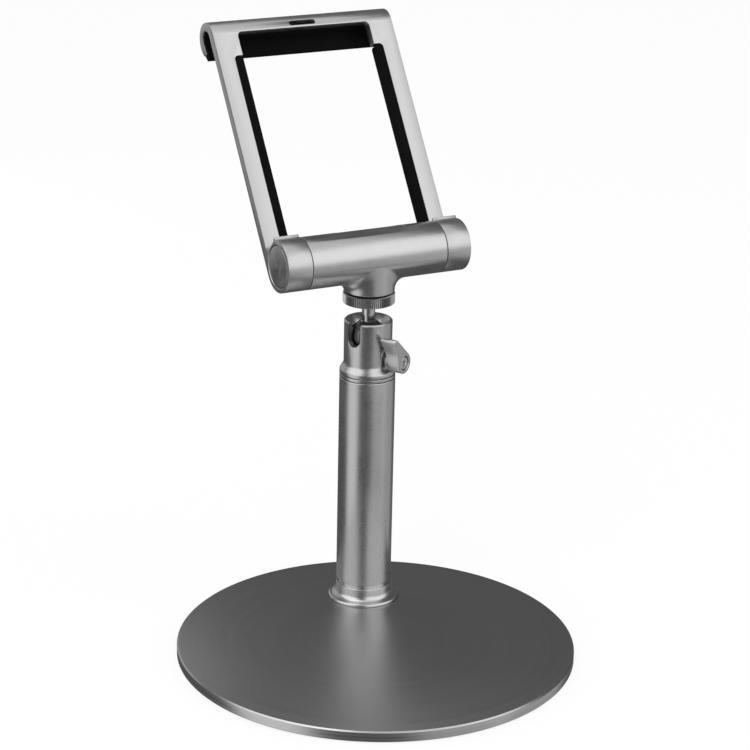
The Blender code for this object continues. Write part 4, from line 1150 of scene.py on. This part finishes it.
@dataclass
class HingeBlock:
    """The barrel with its boss; local X runs along the barrel."""

    layout: Layout
    radius: float = 13.0
    half: float = 36.65
    edge: float = 0.3
    boss_radius: float = 12.7
    boss_low: float = 17.8
    boss_edge: float = 0.35
    fillet: float = 5.7
    flat_depth: float = 1.3
    flat_half: float = 14.0
    runout: float = 11.0
    stud_radius: float = 3.3
    stud_top: float = -5.6
    shank_radius: float = 4.3
    shoulder_end: float = 30.35
    thread_radius: float = 3.3
    thread_end: float = 21.35

    def boss_mesh(self) -> Mesh:
        """Build the boss below the barrel, flaring along it.

        Returns:
            The boss's mesh.
        """
        facets = 128
        wide = self.boss_radius + self.fillet
        levels = [(-self.boss_low, self.boss_radius - self.boss_edge, self.boss_radius - self.boss_edge)]
        levels.append((self.boss_edge - self.boss_low, self.boss_radius, self.boss_radius))
        turns = [2 * math.pi * index / facets for index in range(facets)]
        rings = []
        for height, along, deep in levels:
            rings.append([Vector((along * math.cos(angle), deep * math.sin(angle), height)) for angle in turns])
        for across, rise in arc((wide, -self.fillet), self.fillet, 180, 92, 6):
            ring = []
            for angle in turns:
                deep = self.boss_radius * math.sin(angle)
                underside = -math.sqrt(self.radius ** 2 - deep ** 2)
                height = max(underside + rise, self.boss_edge - self.boss_low + 0.02 * len(rings))
                ring.append(Vector((across * math.cos(angle), deep, height)))
            rings.append(ring)
        rings.append([Vector((wide * math.cos(angle), self.boss_radius * math.sin(angle), 0)) for angle in turns])
        return ring_stack("barrel_boss", rings, False)

    def block_mesh(self) -> Mesh:
        """Build the barrel in a frame whose Z runs along it, joined to the boss and bored.

        Returns:
            The block's mesh.
        """
        inner = self.radius - self.edge
        profile = arc((inner, self.half - self.edge), self.edge, 90, 0, 30)
        profile += arc((inner, self.edge - self.half), self.edge, 0, -90, 30)
        lay = turn(-90, "Y")
        barrel = turned("hinge_block", profile, 192)
        floor = self.radius - self.flat_depth
        centre = floor + self.runout
        swing = math.degrees(math.acos((centre - self.radius - OVERCUT) / self.runout))
        outline = arc((self.flat_half, centre), self.runout, 270, 270 + swing, 3)
        outline += arc((-self.flat_half, centre), self.runout, 270 - swing, 270, 3)
        flat = prism("barrel_flat", outline, -self.radius - OVERCUT, self.radius + OVERCUT, Plane.FRONT)
        stud = turned("stud_thread", [
            (self.stud_radius, -self.boss_low - OVERCUT), (self.stud_radius, self.stud_top),
        ], 48)
        cutters = [moved(flat, lay), moved(stud, lay)]
        for sign in (-1, 1):
            steps = [
                (self.shank_radius, self.half + OVERCUT), (self.shank_radius, self.shoulder_end),
                (self.thread_radius, self.shoulder_end), (self.thread_radius, self.thread_end),
            ]
            cutters.append(turned("hinge_bore", [(radius, sign * height) for radius, height in steps], 64))
        joined = cut(barrel, [moved(self.boss_mesh(), lay)], "UNION")
        return cut(joined, cutters)

    def build(self) -> None:
        """Build and dress the block."""
        frame = self.layout.barrel() @ turn(90, "Y")
        add_piece("hinge_block", self.block_mesh(), frame, BARREL_SATIN, "head", sharp=26.0)


@dataclass
class Bracket:
    """The leaning plate with hook, window, knuckles and ledges, and the end discs."""

    layout: Layout
    barrel_radius: float = 13.0
    plate_front: float = 8.0
    half_width: float = 50.0
    knuckle_inner: float = 36.95
    hook_top: float = 134.5
    hook_radius: float = 9.0
    hook_wall: float = 4.2
    lip_low: float = 119.8
    lip_wall: float = 2.6
    lip_land: float = 6.0
    window_top: float = 125.4
    window_half: float = 36.6
    window_corner: float = 2.4
    strip_inner: float = 36.8
    strip_outer: float = 41.0
    strip_low: float = 15.0
    strip_top: float = 112.6
    strip_corner: float = 1.7
    pill_up: float = 127.9
    pill_length: float = 14.4
    pill_width: float = 2.8
    ledge_top: float = 13.8
    ledge_front: float = 4.5
    ledge_thickness: float = 1.2
    ledge_foot: float = 12.5
    ledge_foot_depth: float = 1.0
    notch_floor: float = 11.2
    notch_fillet: float = 2.3
    notch_end: float = 2.8
    edge: float = 0.32
    web_inner: float = 38.95
    web_outer: float = 42.95
    disc_seat: float = 47.6
    disc_seat_radius: float = 10.6
    pocket_radius: float = 8.0
    hole_radius: float = 4.3
    washer_room: float = 7.9
    disc_radius: float = 10.3
    disc_low: float = 47.9
    disc_high: float = 49.8
    disc_edge: float = 0.25

    @property
    def hook_axis(self) -> Point:
        """Centre of the hook's outer curve as (depth, up)."""
        return (self.plate_front + self.hook_radius, self.hook_top - self.hook_radius)

    @property
    def inner_radius(self) -> float:
        """Radius of the hook's inner curve."""
        return (self.hook_axis[0] + self.hook_radius - self.hook_wall - self.barrel_radius) / 2

    @property
    def inner_centre(self) -> Point:
        """Centre of the hook's inner curve as (depth, up)."""
        return (self.barrel_radius + self.inner_radius, self.hook_top - self.hook_wall - self.inner_radius)

    @property
    def lip_turn(self) -> float:
        """Degrees from level to the lip's outer corner."""
        return math.degrees(math.asin((self.hook_axis[1] - self.lip_low) / self.hook_radius))

    @property
    def lip_outer(self) -> float:
        """Depth of the lip's outer face."""
        return self.hook_axis[0] + self.hook_radius * math.cos(math.radians(self.lip_turn))

    def side_outline(self) -> Outline:
        """Side view of the plate as (depth, up) points.

        Returns:
            The outline in order.
        """
        ledge_turn = math.degrees(math.acos(self.ledge_front / self.barrel_radius))
        fillet = (self.plate_front - self.notch_fillet, self.notch_floor + self.notch_fillet)
        ledge_back = self.ledge_thickness - self.ledge_front
        points = arc((0, 0), self.barrel_radius, 180 - ledge_turn, 360, 4)
        points += arc(self.inner_centre, self.inner_radius, 180, 0, 8)
        points += [(self.lip_outer - self.lip_wall, self.lip_low), (self.lip_outer, self.lip_low)]
        points += arc(self.hook_axis, self.hook_radius, self.lip_land - self.lip_turn, 180, 5)
        points += arc(fillet, self.notch_fillet, 360, 270, 15)
        points += [
            (self.notch_end, self.notch_floor), (ledge_back + self.ledge_foot_depth, self.ledge_foot),
            (ledge_back, self.ledge_top), (-self.ledge_front, self.ledge_top),
        ]
        return points

    def window_outline(self, half: float, low: float, high: float, corner: float) -> Outline:
        """An upright opening with rounded upper corners.

        Args:
            half: half of its width.
            low: lower edge.
            high: upper edge.
            corner: radius of the corners.

        Returns:
            The outline in order.
        """
        points = [(-half, low), (half, low)]
        points += arc((half - corner, high - corner), corner, 0, 90, 15)
        points += arc((corner - half, high - corner), corner, 90, 180, 15)
        return points

    def plate_mesh(self) -> Mesh:
        """Build the plate with its window, cable slot and knuckle bores.

        Returns:
            The plate's mesh.
        """
        blank = prism("bracket", self.side_outline(), -self.half_width, self.half_width, Plane.SIDE)
        back, front = -self.barrel_radius - OVERCUT, OVERCUT - self.plate_front
        upper = self.window_outline(self.window_half, self.strip_low, self.window_top, self.window_corner)
        lower = self.window_outline(self.strip_outer + GAP, self.strip_low - GAP, self.strip_top + GAP,
                                    self.strip_corner + GAP)
        pill_end = (self.pill_length - self.pill_width) / 2
        pill = arc((pill_end, self.pill_up), self.pill_width / 2, -90, 90, 15)
        pill += arc((-pill_end, self.pill_up), self.pill_width / 2, 90, 270, 15)
        reach = self.barrel_radius + OVERCUT
        cutters = [
            prism("window_upper", upper, back, front, Plane.FRONT),
            prism("window_lower", lower, back, front, Plane.FRONT),
            prism("cable_slot", pill, back, front, Plane.FRONT),
            block("barrel_gap", (-self.knuckle_inner, -reach, -reach), (self.knuckle_inner, reach, self.strip_low)),
        ]
        shaped = softened(cut(blank, cutters), self.edge, 2, 40.0)
        return cut(shaped, [self.bore_mesh(side) for side in Side])

    def bore_mesh(self, side: Side) -> Mesh:
        """Cutter for one knuckle: disc seat, spring pocket, screw hole and friction washer seat.

        Args:
            side: end of the barrel.

        Returns:
            The cutter's mesh.
        """
        rim = self.disc_edge
        steps = [
            (self.disc_seat_radius + rim, self.half_width + OVERCUT), (self.disc_seat_radius + rim, self.half_width),
            (self.disc_seat_radius, self.half_width - rim),
            (self.disc_seat_radius, self.disc_seat), (self.pocket_radius, self.disc_seat),
            (self.pocket_radius, self.web_outer), (self.hole_radius, self.web_outer),
            (self.hole_radius, self.web_inner), (self.washer_room, self.web_inner),
            (self.washer_room, self.knuckle_inner - OVERCUT),
        ]
        return moved(turned("knuckle_bore", steps, 128), turn(side.value, "Y"))

    def end_disc(self, side: Side) -> None:
        """Build and dress one end disc.

        Args:
            side: end of the barrel.
        """
        inner = self.disc_radius - self.disc_edge
        profile = [(0.01, self.disc_high)]
        profile += arc((inner, self.disc_high - self.disc_edge), self.disc_edge, 90, 0, 30)
        profile += [(self.disc_radius, self.disc_low), (0.01, self.disc_low)]
        name = "end_disc_" + side.label
        frame = self.layout.bracket() @ turn(side.value, "Y")
        add_piece(name, turned(name, profile, 144), frame, CONIC, "bracket")

    def build(self) -> None:
        """Build and dress the plate and its end discs."""
        add_piece("bracket", self.plate_mesh(), self.layout.bracket(), SATIN, "bracket")
        for side in Side:
            self.end_disc(side)


@dataclass
class Padding:
    """The rubber liner in the hook and the strips beside the window."""

    bracket: Bracket
    thickness: float = 1.9
    drop: float = 3.4
    nose: float = 2.8
    proud: float = 0.2
    plate: float = 5.0
    edge: float = 0.3
    start: float = 100.0

    def liner_mesh(self) -> Mesh:
        """Build the liner: a curved lining with a nose below the hook's lip.

        Returns:
            The liner's mesh.
        """
        hook = self.bracket
        outer = hook.inner_radius - GAP
        lip_inner = hook.lip_outer - hook.lip_wall
        low = hook.lip_low - self.drop
        front = hook.inner_centre[0] + outer - self.thickness - GAP
        points = arc(hook.inner_centre, outer, self.start, 0, 10)
        points += [
            (lip_inner - GAP, hook.lip_low), (lip_inner - GAP, hook.lip_low - GAP),
            (hook.lip_outer - GAP, hook.lip_low - GAP), (front + self.nose, low), (front, low),
        ]
        points += arc(hook.inner_centre, outer - self.thickness, 0, self.start, 15)
        half = hook.half_width - GAP
        return softened(prism("hook_liner", points, -half, half, Plane.SIDE), 0.18, 2, 40.0)

    def strip_mesh(self, name: str) -> Mesh:
        """Build one side strip about its own middle line.

        Args:
            name: name of the mesh.

        Returns:
            The strip's mesh.
        """
        frame = self.bracket
        half = (frame.strip_outer - frame.strip_inner) / 2
        corner = frame.strip_corner
        low = frame.strip_low + GAP + corner
        high = frame.strip_top - corner
        points = arc((half - corner, high), corner, 0, 90, 15) + arc((corner - half, high), corner, 90, 180, 15)
        points += arc((corner - half, low), corner, 180, 270, 15) + arc((half - corner, low), corner, 270, 360, 15)
        back = -frame.barrel_radius
        return softened(prism(name, points, back, back + self.plate + self.proud, Plane.FRONT), self.edge, 2, 40.0)

    def build(self) -> None:
        """Build and dress the liner and both strips."""
        frame = self.bracket.layout.bracket()
        add_piece("hook_liner", self.liner_mesh(), frame, RUBBER, "bracket")
        middle = (self.bracket.strip_outer + self.bracket.strip_inner) / 2
        for side, sign in ((Side.LEFT, -1), (Side.RIGHT, 1)):
            name = "side_strip_" + side.label
            add_piece(name, self.strip_mesh(name), frame @ shift(sign * middle, 0, 0), RUBBER, "bracket")


HIDDEN_PARTS: dict[str, Finish] = {
    "base_pad": RUBBER,
    "foot_screw": DARK_STEEL,
    "ball_seat": NYLON,
    "hinge_screw_left": DARK_STEEL,
    "hinge_screw_right": DARK_STEEL,
    "spring_washer_left": POLISHED,
    "spring_washer_right": POLISHED,
    "friction_washer_left": NYLON,
    "friction_washer_right": NYLON,
}


def dress_hidden(nodes: dict[str, Object]) -> None:
    """Give the pieces that stay as they are their finishes.

    Args:
        nodes: the frame's nodes by name.
    """
    for name, finish in HIDDEN_PARTS.items():
        for slot in nodes[name].material_slots:
            slot.material = finish.material()
        LOG.info("%s keeps its shape", name)


# ---------------------------------------------------------------- studio

@dataclass(frozen=True)
class SoftBox:
    """A bright patch of the studio that metal reflects; azimuth 0 faces the stand's front."""

    azimuth: float
    width: float
    low: float
    high: float
    level: float
    side_fade: float = 22.0
    up_fade: float = 16.0


@dataclass
class Studio:
    """White studio with soft boxes, a pale floor, two lamps and the camera."""

    layout: Layout
    boxes: tuple[SoftBox, ...] = (
        SoftBox(50.0, 34.0, 9.0, 52.0, 1.10),
        SoftBox(-66.0, 12.0, -38.0, 8.0, 0.72, 20.0, 12.0),
        SoftBox(44.0, 14.0, -32.0, -8.0, 0.34, 22.0, 10.0),
        SoftBox(94.0, 18.0, -34.0, -6.0, 0.32, 20.0, 10.0),
        SoftBox(-68.0, 26.0, 22.0, 78.0, 1.20),
        SoftBox(0.0, 180.0, 66.0, 90.0, 0.62),
        SoftBox(0.0, 180.0, -90.0, -6.0, 0.17, 10.0, 10.0),
    )
    surround: float = 0.10
    ambient: float = 0.85
    floor_half: float = 3000.0
    floor_glow: float = 0.85
    camera_azimuth: float = -7.03
    camera_elevation: float = 19.37
    camera_roll: float = 1.19
    camera_distance: float = 1252.2
    camera_target: tuple[float, float, float] = (4.03, 57.0, 124.55)
    camera_lens: float = 120.09

    def box_mask(self, tree: NodeTree, around: NodeSocket, height: NodeSocket, box: SoftBox) -> NodeSocket:
        """Mask of one soft box over the directions of the studio.

        Args:
            tree: world's node tree.
            around: level part of the direction, of length one.
            height: sine of the direction's elevation.
            box: the soft box.

        Returns:
            The mask times the box's level.
        """
        facing = math.radians(box.azimuth)
        centre = (math.sin(facing), -math.cos(facing), 0.0)
        dot = add_node(tree, "ShaderNodeVectorMath", {0: around, 1: centre}, operation="DOT_PRODUCT")
        near = math.cos(math.radians(min(180.0, box.width)))
        far = math.cos(math.radians(min(180.0, box.width + box.side_fade)))
        beside = remap(tree, dot.outputs["Value"], (far - 0.001, near), (0.0, 1.0))
        fade = math.radians(box.up_fade)
        low, high = math.radians(box.low), math.radians(box.high)
        under = remap(tree, height, (math.sin(low - fade), math.sin(low)), (0.0, 1.0))
        top = math.sin(min(high + fade, math.pi / 2)) + 0.001
        over = remap(tree, height, (math.sin(high), top), (1.0, 0.0))
        if box.high >= 90.0:
            over = under
        mask = maths(tree, "MULTIPLY", beside, maths(tree, "MULTIPLY", under, over))
        return maths(tree, "MULTIPLY", mask, box.level)

    def build_world(self) -> None:
        """Build the world: white to the eye, soft boxes in reflections, even light on everything else."""
        world = bpy.data.worlds.new("studio")
        bpy.context.scene.world = world
        world.use_nodes = True
        tree = world.node_tree
        tree.nodes.clear()
        direction = add_node(tree, "ShaderNodeTexCoord").outputs["Generated"]
        level = add_node(tree, "ShaderNodeVectorMath", {0: direction, 1: (1.0, 1.0, 0.0)}, operation="MULTIPLY")
        around = add_node(tree, "ShaderNodeVectorMath", {0: level.outputs[0]}, operation="NORMALIZE").outputs[0]
        height = add_node(tree, "ShaderNodeSeparateXYZ", {0: direction}).outputs[2]
        total: object = self.surround
        for box in self.boxes:
            total = maths(tree, "ADD", self.box_mask(tree, around, height, box), total)
        path = add_node(tree, "ShaderNodeLightPath")
        seen = maths(tree, "MAXIMUM", path.outputs["Is Camera Ray"], path.outputs["Is Transmission Ray"])
        shown = maths(tree, "MAXIMUM", seen, path.outputs["Is Glossy Ray"])
        white = add_node(tree, "ShaderNodeMix", {0: seen, 3: 1.0}, data_type="FLOAT")
        tree.links.new(total, white.inputs[2])
        background = add_node(tree, "ShaderNodeBackground", {"Color": (1.0, 1.0, 1.0, 1.0)})
        tree.links.new(white.outputs[0], background.inputs["Strength"])
        light = add_node(tree, "ShaderNodeBackground", {"Color": (1.0, 1.0, 1.0, 1.0), "Strength": self.ambient})
        mix = add_node(tree, "ShaderNodeMixShader", {0: shown})
        tree.links.new(light.outputs[0], mix.inputs[1])
        tree.links.new(background.outputs[0], mix.inputs[2])
        output = add_node(tree, "ShaderNodeOutputWorld")
        tree.links.new(mix.outputs[0], output.inputs["Surface"])

    def build_floor(self) -> None:
        """Build the pale floor, which shows white to the eye apart from the stand's shadow."""
        half = self.floor_half
        mesh = prism("studio_floor", [(-half, -half), (half, -half), (half, half), (-half, half)], -20.0, 0.0)
        made = bpy.data.materials.new("pale_floor")
        made.use_nodes = True
        tree = made.node_tree
        tree.nodes.clear()
        paint = add_node(tree, "ShaderNodeBsdfDiffuse", {"Color": (0.95, 0.95, 0.95, 1.0)})
        glow = add_node(tree, "ShaderNodeEmission", {"Color": (1.0, 1.0, 1.0, 1.0), "Strength": 1.0})
        path = add_node(tree, "ShaderNodeLightPath")
        seen = maths(tree, "MAXIMUM", path.outputs["Is Camera Ray"], path.outputs["Is Transmission Ray"])
        shown = maths(tree, "MAXIMUM", seen, path.outputs["Is Glossy Ray"])
        mix = add_node(tree, "ShaderNodeMixShader", {0: maths(tree, "MULTIPLY", shown, self.floor_glow)})
        tree.links.new(paint.outputs[0], mix.inputs[1])
        tree.links.new(glow.outputs[0], mix.inputs[2])
        output = add_node(tree, "ShaderNodeOutputMaterial")
        tree.links.new(mix.outputs[0], output.inputs["Surface"])
        mesh.materials.append(made)
        floor = bpy.data.objects.new("studio_floor", mesh)
        floor.visible_glossy = False
        bpy.context.scene.collection.objects.link(floor)
        floor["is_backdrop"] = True

    def add_lamp(self, name: str, place: Sequence[float], size: float, power: float, glossy: bool) -> None:
        """Hang one square soft lamp aimed at the stand.

        Args:
            name: lamp's name.
            place: position in millimetres.
            size: side of the lamp in millimetres.
            power: watts.
            glossy: whether metal reflects it.
        """
        lamp = bpy.data.lights.new(name, "AREA")
        lamp.size = size * MM
        lamp.energy = power
        holder = bpy.data.objects.new(name, lamp)
        where = Vector(place) * MM
        aim = Vector(self.camera_target) * MM - where
        holder.matrix_world = Matrix.Translation(where) @ aim.to_track_quat("-Z", "Y").to_matrix().to_4x4()
        holder.visible_glossy = glossy
        bpy.context.scene.collection.objects.link(holder)

    def build_camera(self) -> None:
        """Build the camera from its bearing, height, roll and distance."""
        azimuth, elevation = math.radians(self.camera_azimuth), math.radians(self.camera_elevation)
        back = Vector((
            math.sin(azimuth) * math.cos(elevation), -math.cos(azimuth) * math.cos(elevation), math.sin(elevation),
        ))
        right = (-back).cross(Vector((0, 0, 1))).normalized()
        up = right.cross(-back)
        roll = math.radians(self.camera_roll)
        level = math.cos(roll) * right + math.sin(roll) * up
        upright = math.cos(roll) * up - math.sin(roll) * right
        data = bpy.data.cameras.new("studio_camera")
        data.lens = self.camera_lens
        data.sensor_width = 36.0
        camera = bpy.data.objects.new("studio_camera", data)
        spot = Vector(self.camera_target) * MM + back * self.camera_distance * MM
        camera.matrix_world = Matrix((
            (level.x, upright.x, back.x, spot.x), (level.y, upright.y, back.y, spot.y),
            (level.z, upright.z, back.z, spot.z), (0, 0, 0, 1),
        ))
        bpy.context.scene.collection.objects.link(camera)
        bpy.context.scene.camera = camera

    def build(self) -> None:
        """Build the whole studio."""
        self.build_world()
        self.build_floor()
        self.add_lamp("key_lamp", (-700.0, -900.0, 1500.0), 900.0, 6.0, False)
        self.add_lamp("fill_lamp", (1100.0, -500.0, 1100.0), 900.0, 3.0, False)
        self.add_lamp("back_lamp", (-480.0, 700.0, 330.0), 700.0, 0.55, True)
        self.build_camera()
        bpy.context.scene.view_settings.view_transform = "Standard"


def main() -> None:
    """Load the frame, build every sub-assembly in order and work out both sizes."""
    logging.basicConfig(level=logging.INFO, format="%(name)s: %(message)s")
    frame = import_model()
    frame_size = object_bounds()
    layout = Layout()
    Studio(layout).build()
    Base(layout).build()
    Column(layout).build()
    BallHead(layout).build()
    Clamp(layout).build()
    LockDisc(layout).build()
    HingeBlock(layout).build()
    bracket = Bracket(layout)
    bracket.build()
    Padding(bracket).build()
    dress_hidden(frame["nodes"])
    sizes = {"frame": frame_size, "visual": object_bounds()}
    plain = {name: [[float(number) for number in corner] for corner in size] for name, size in sizes.items()}


if __name__ == "__main__":
    main()
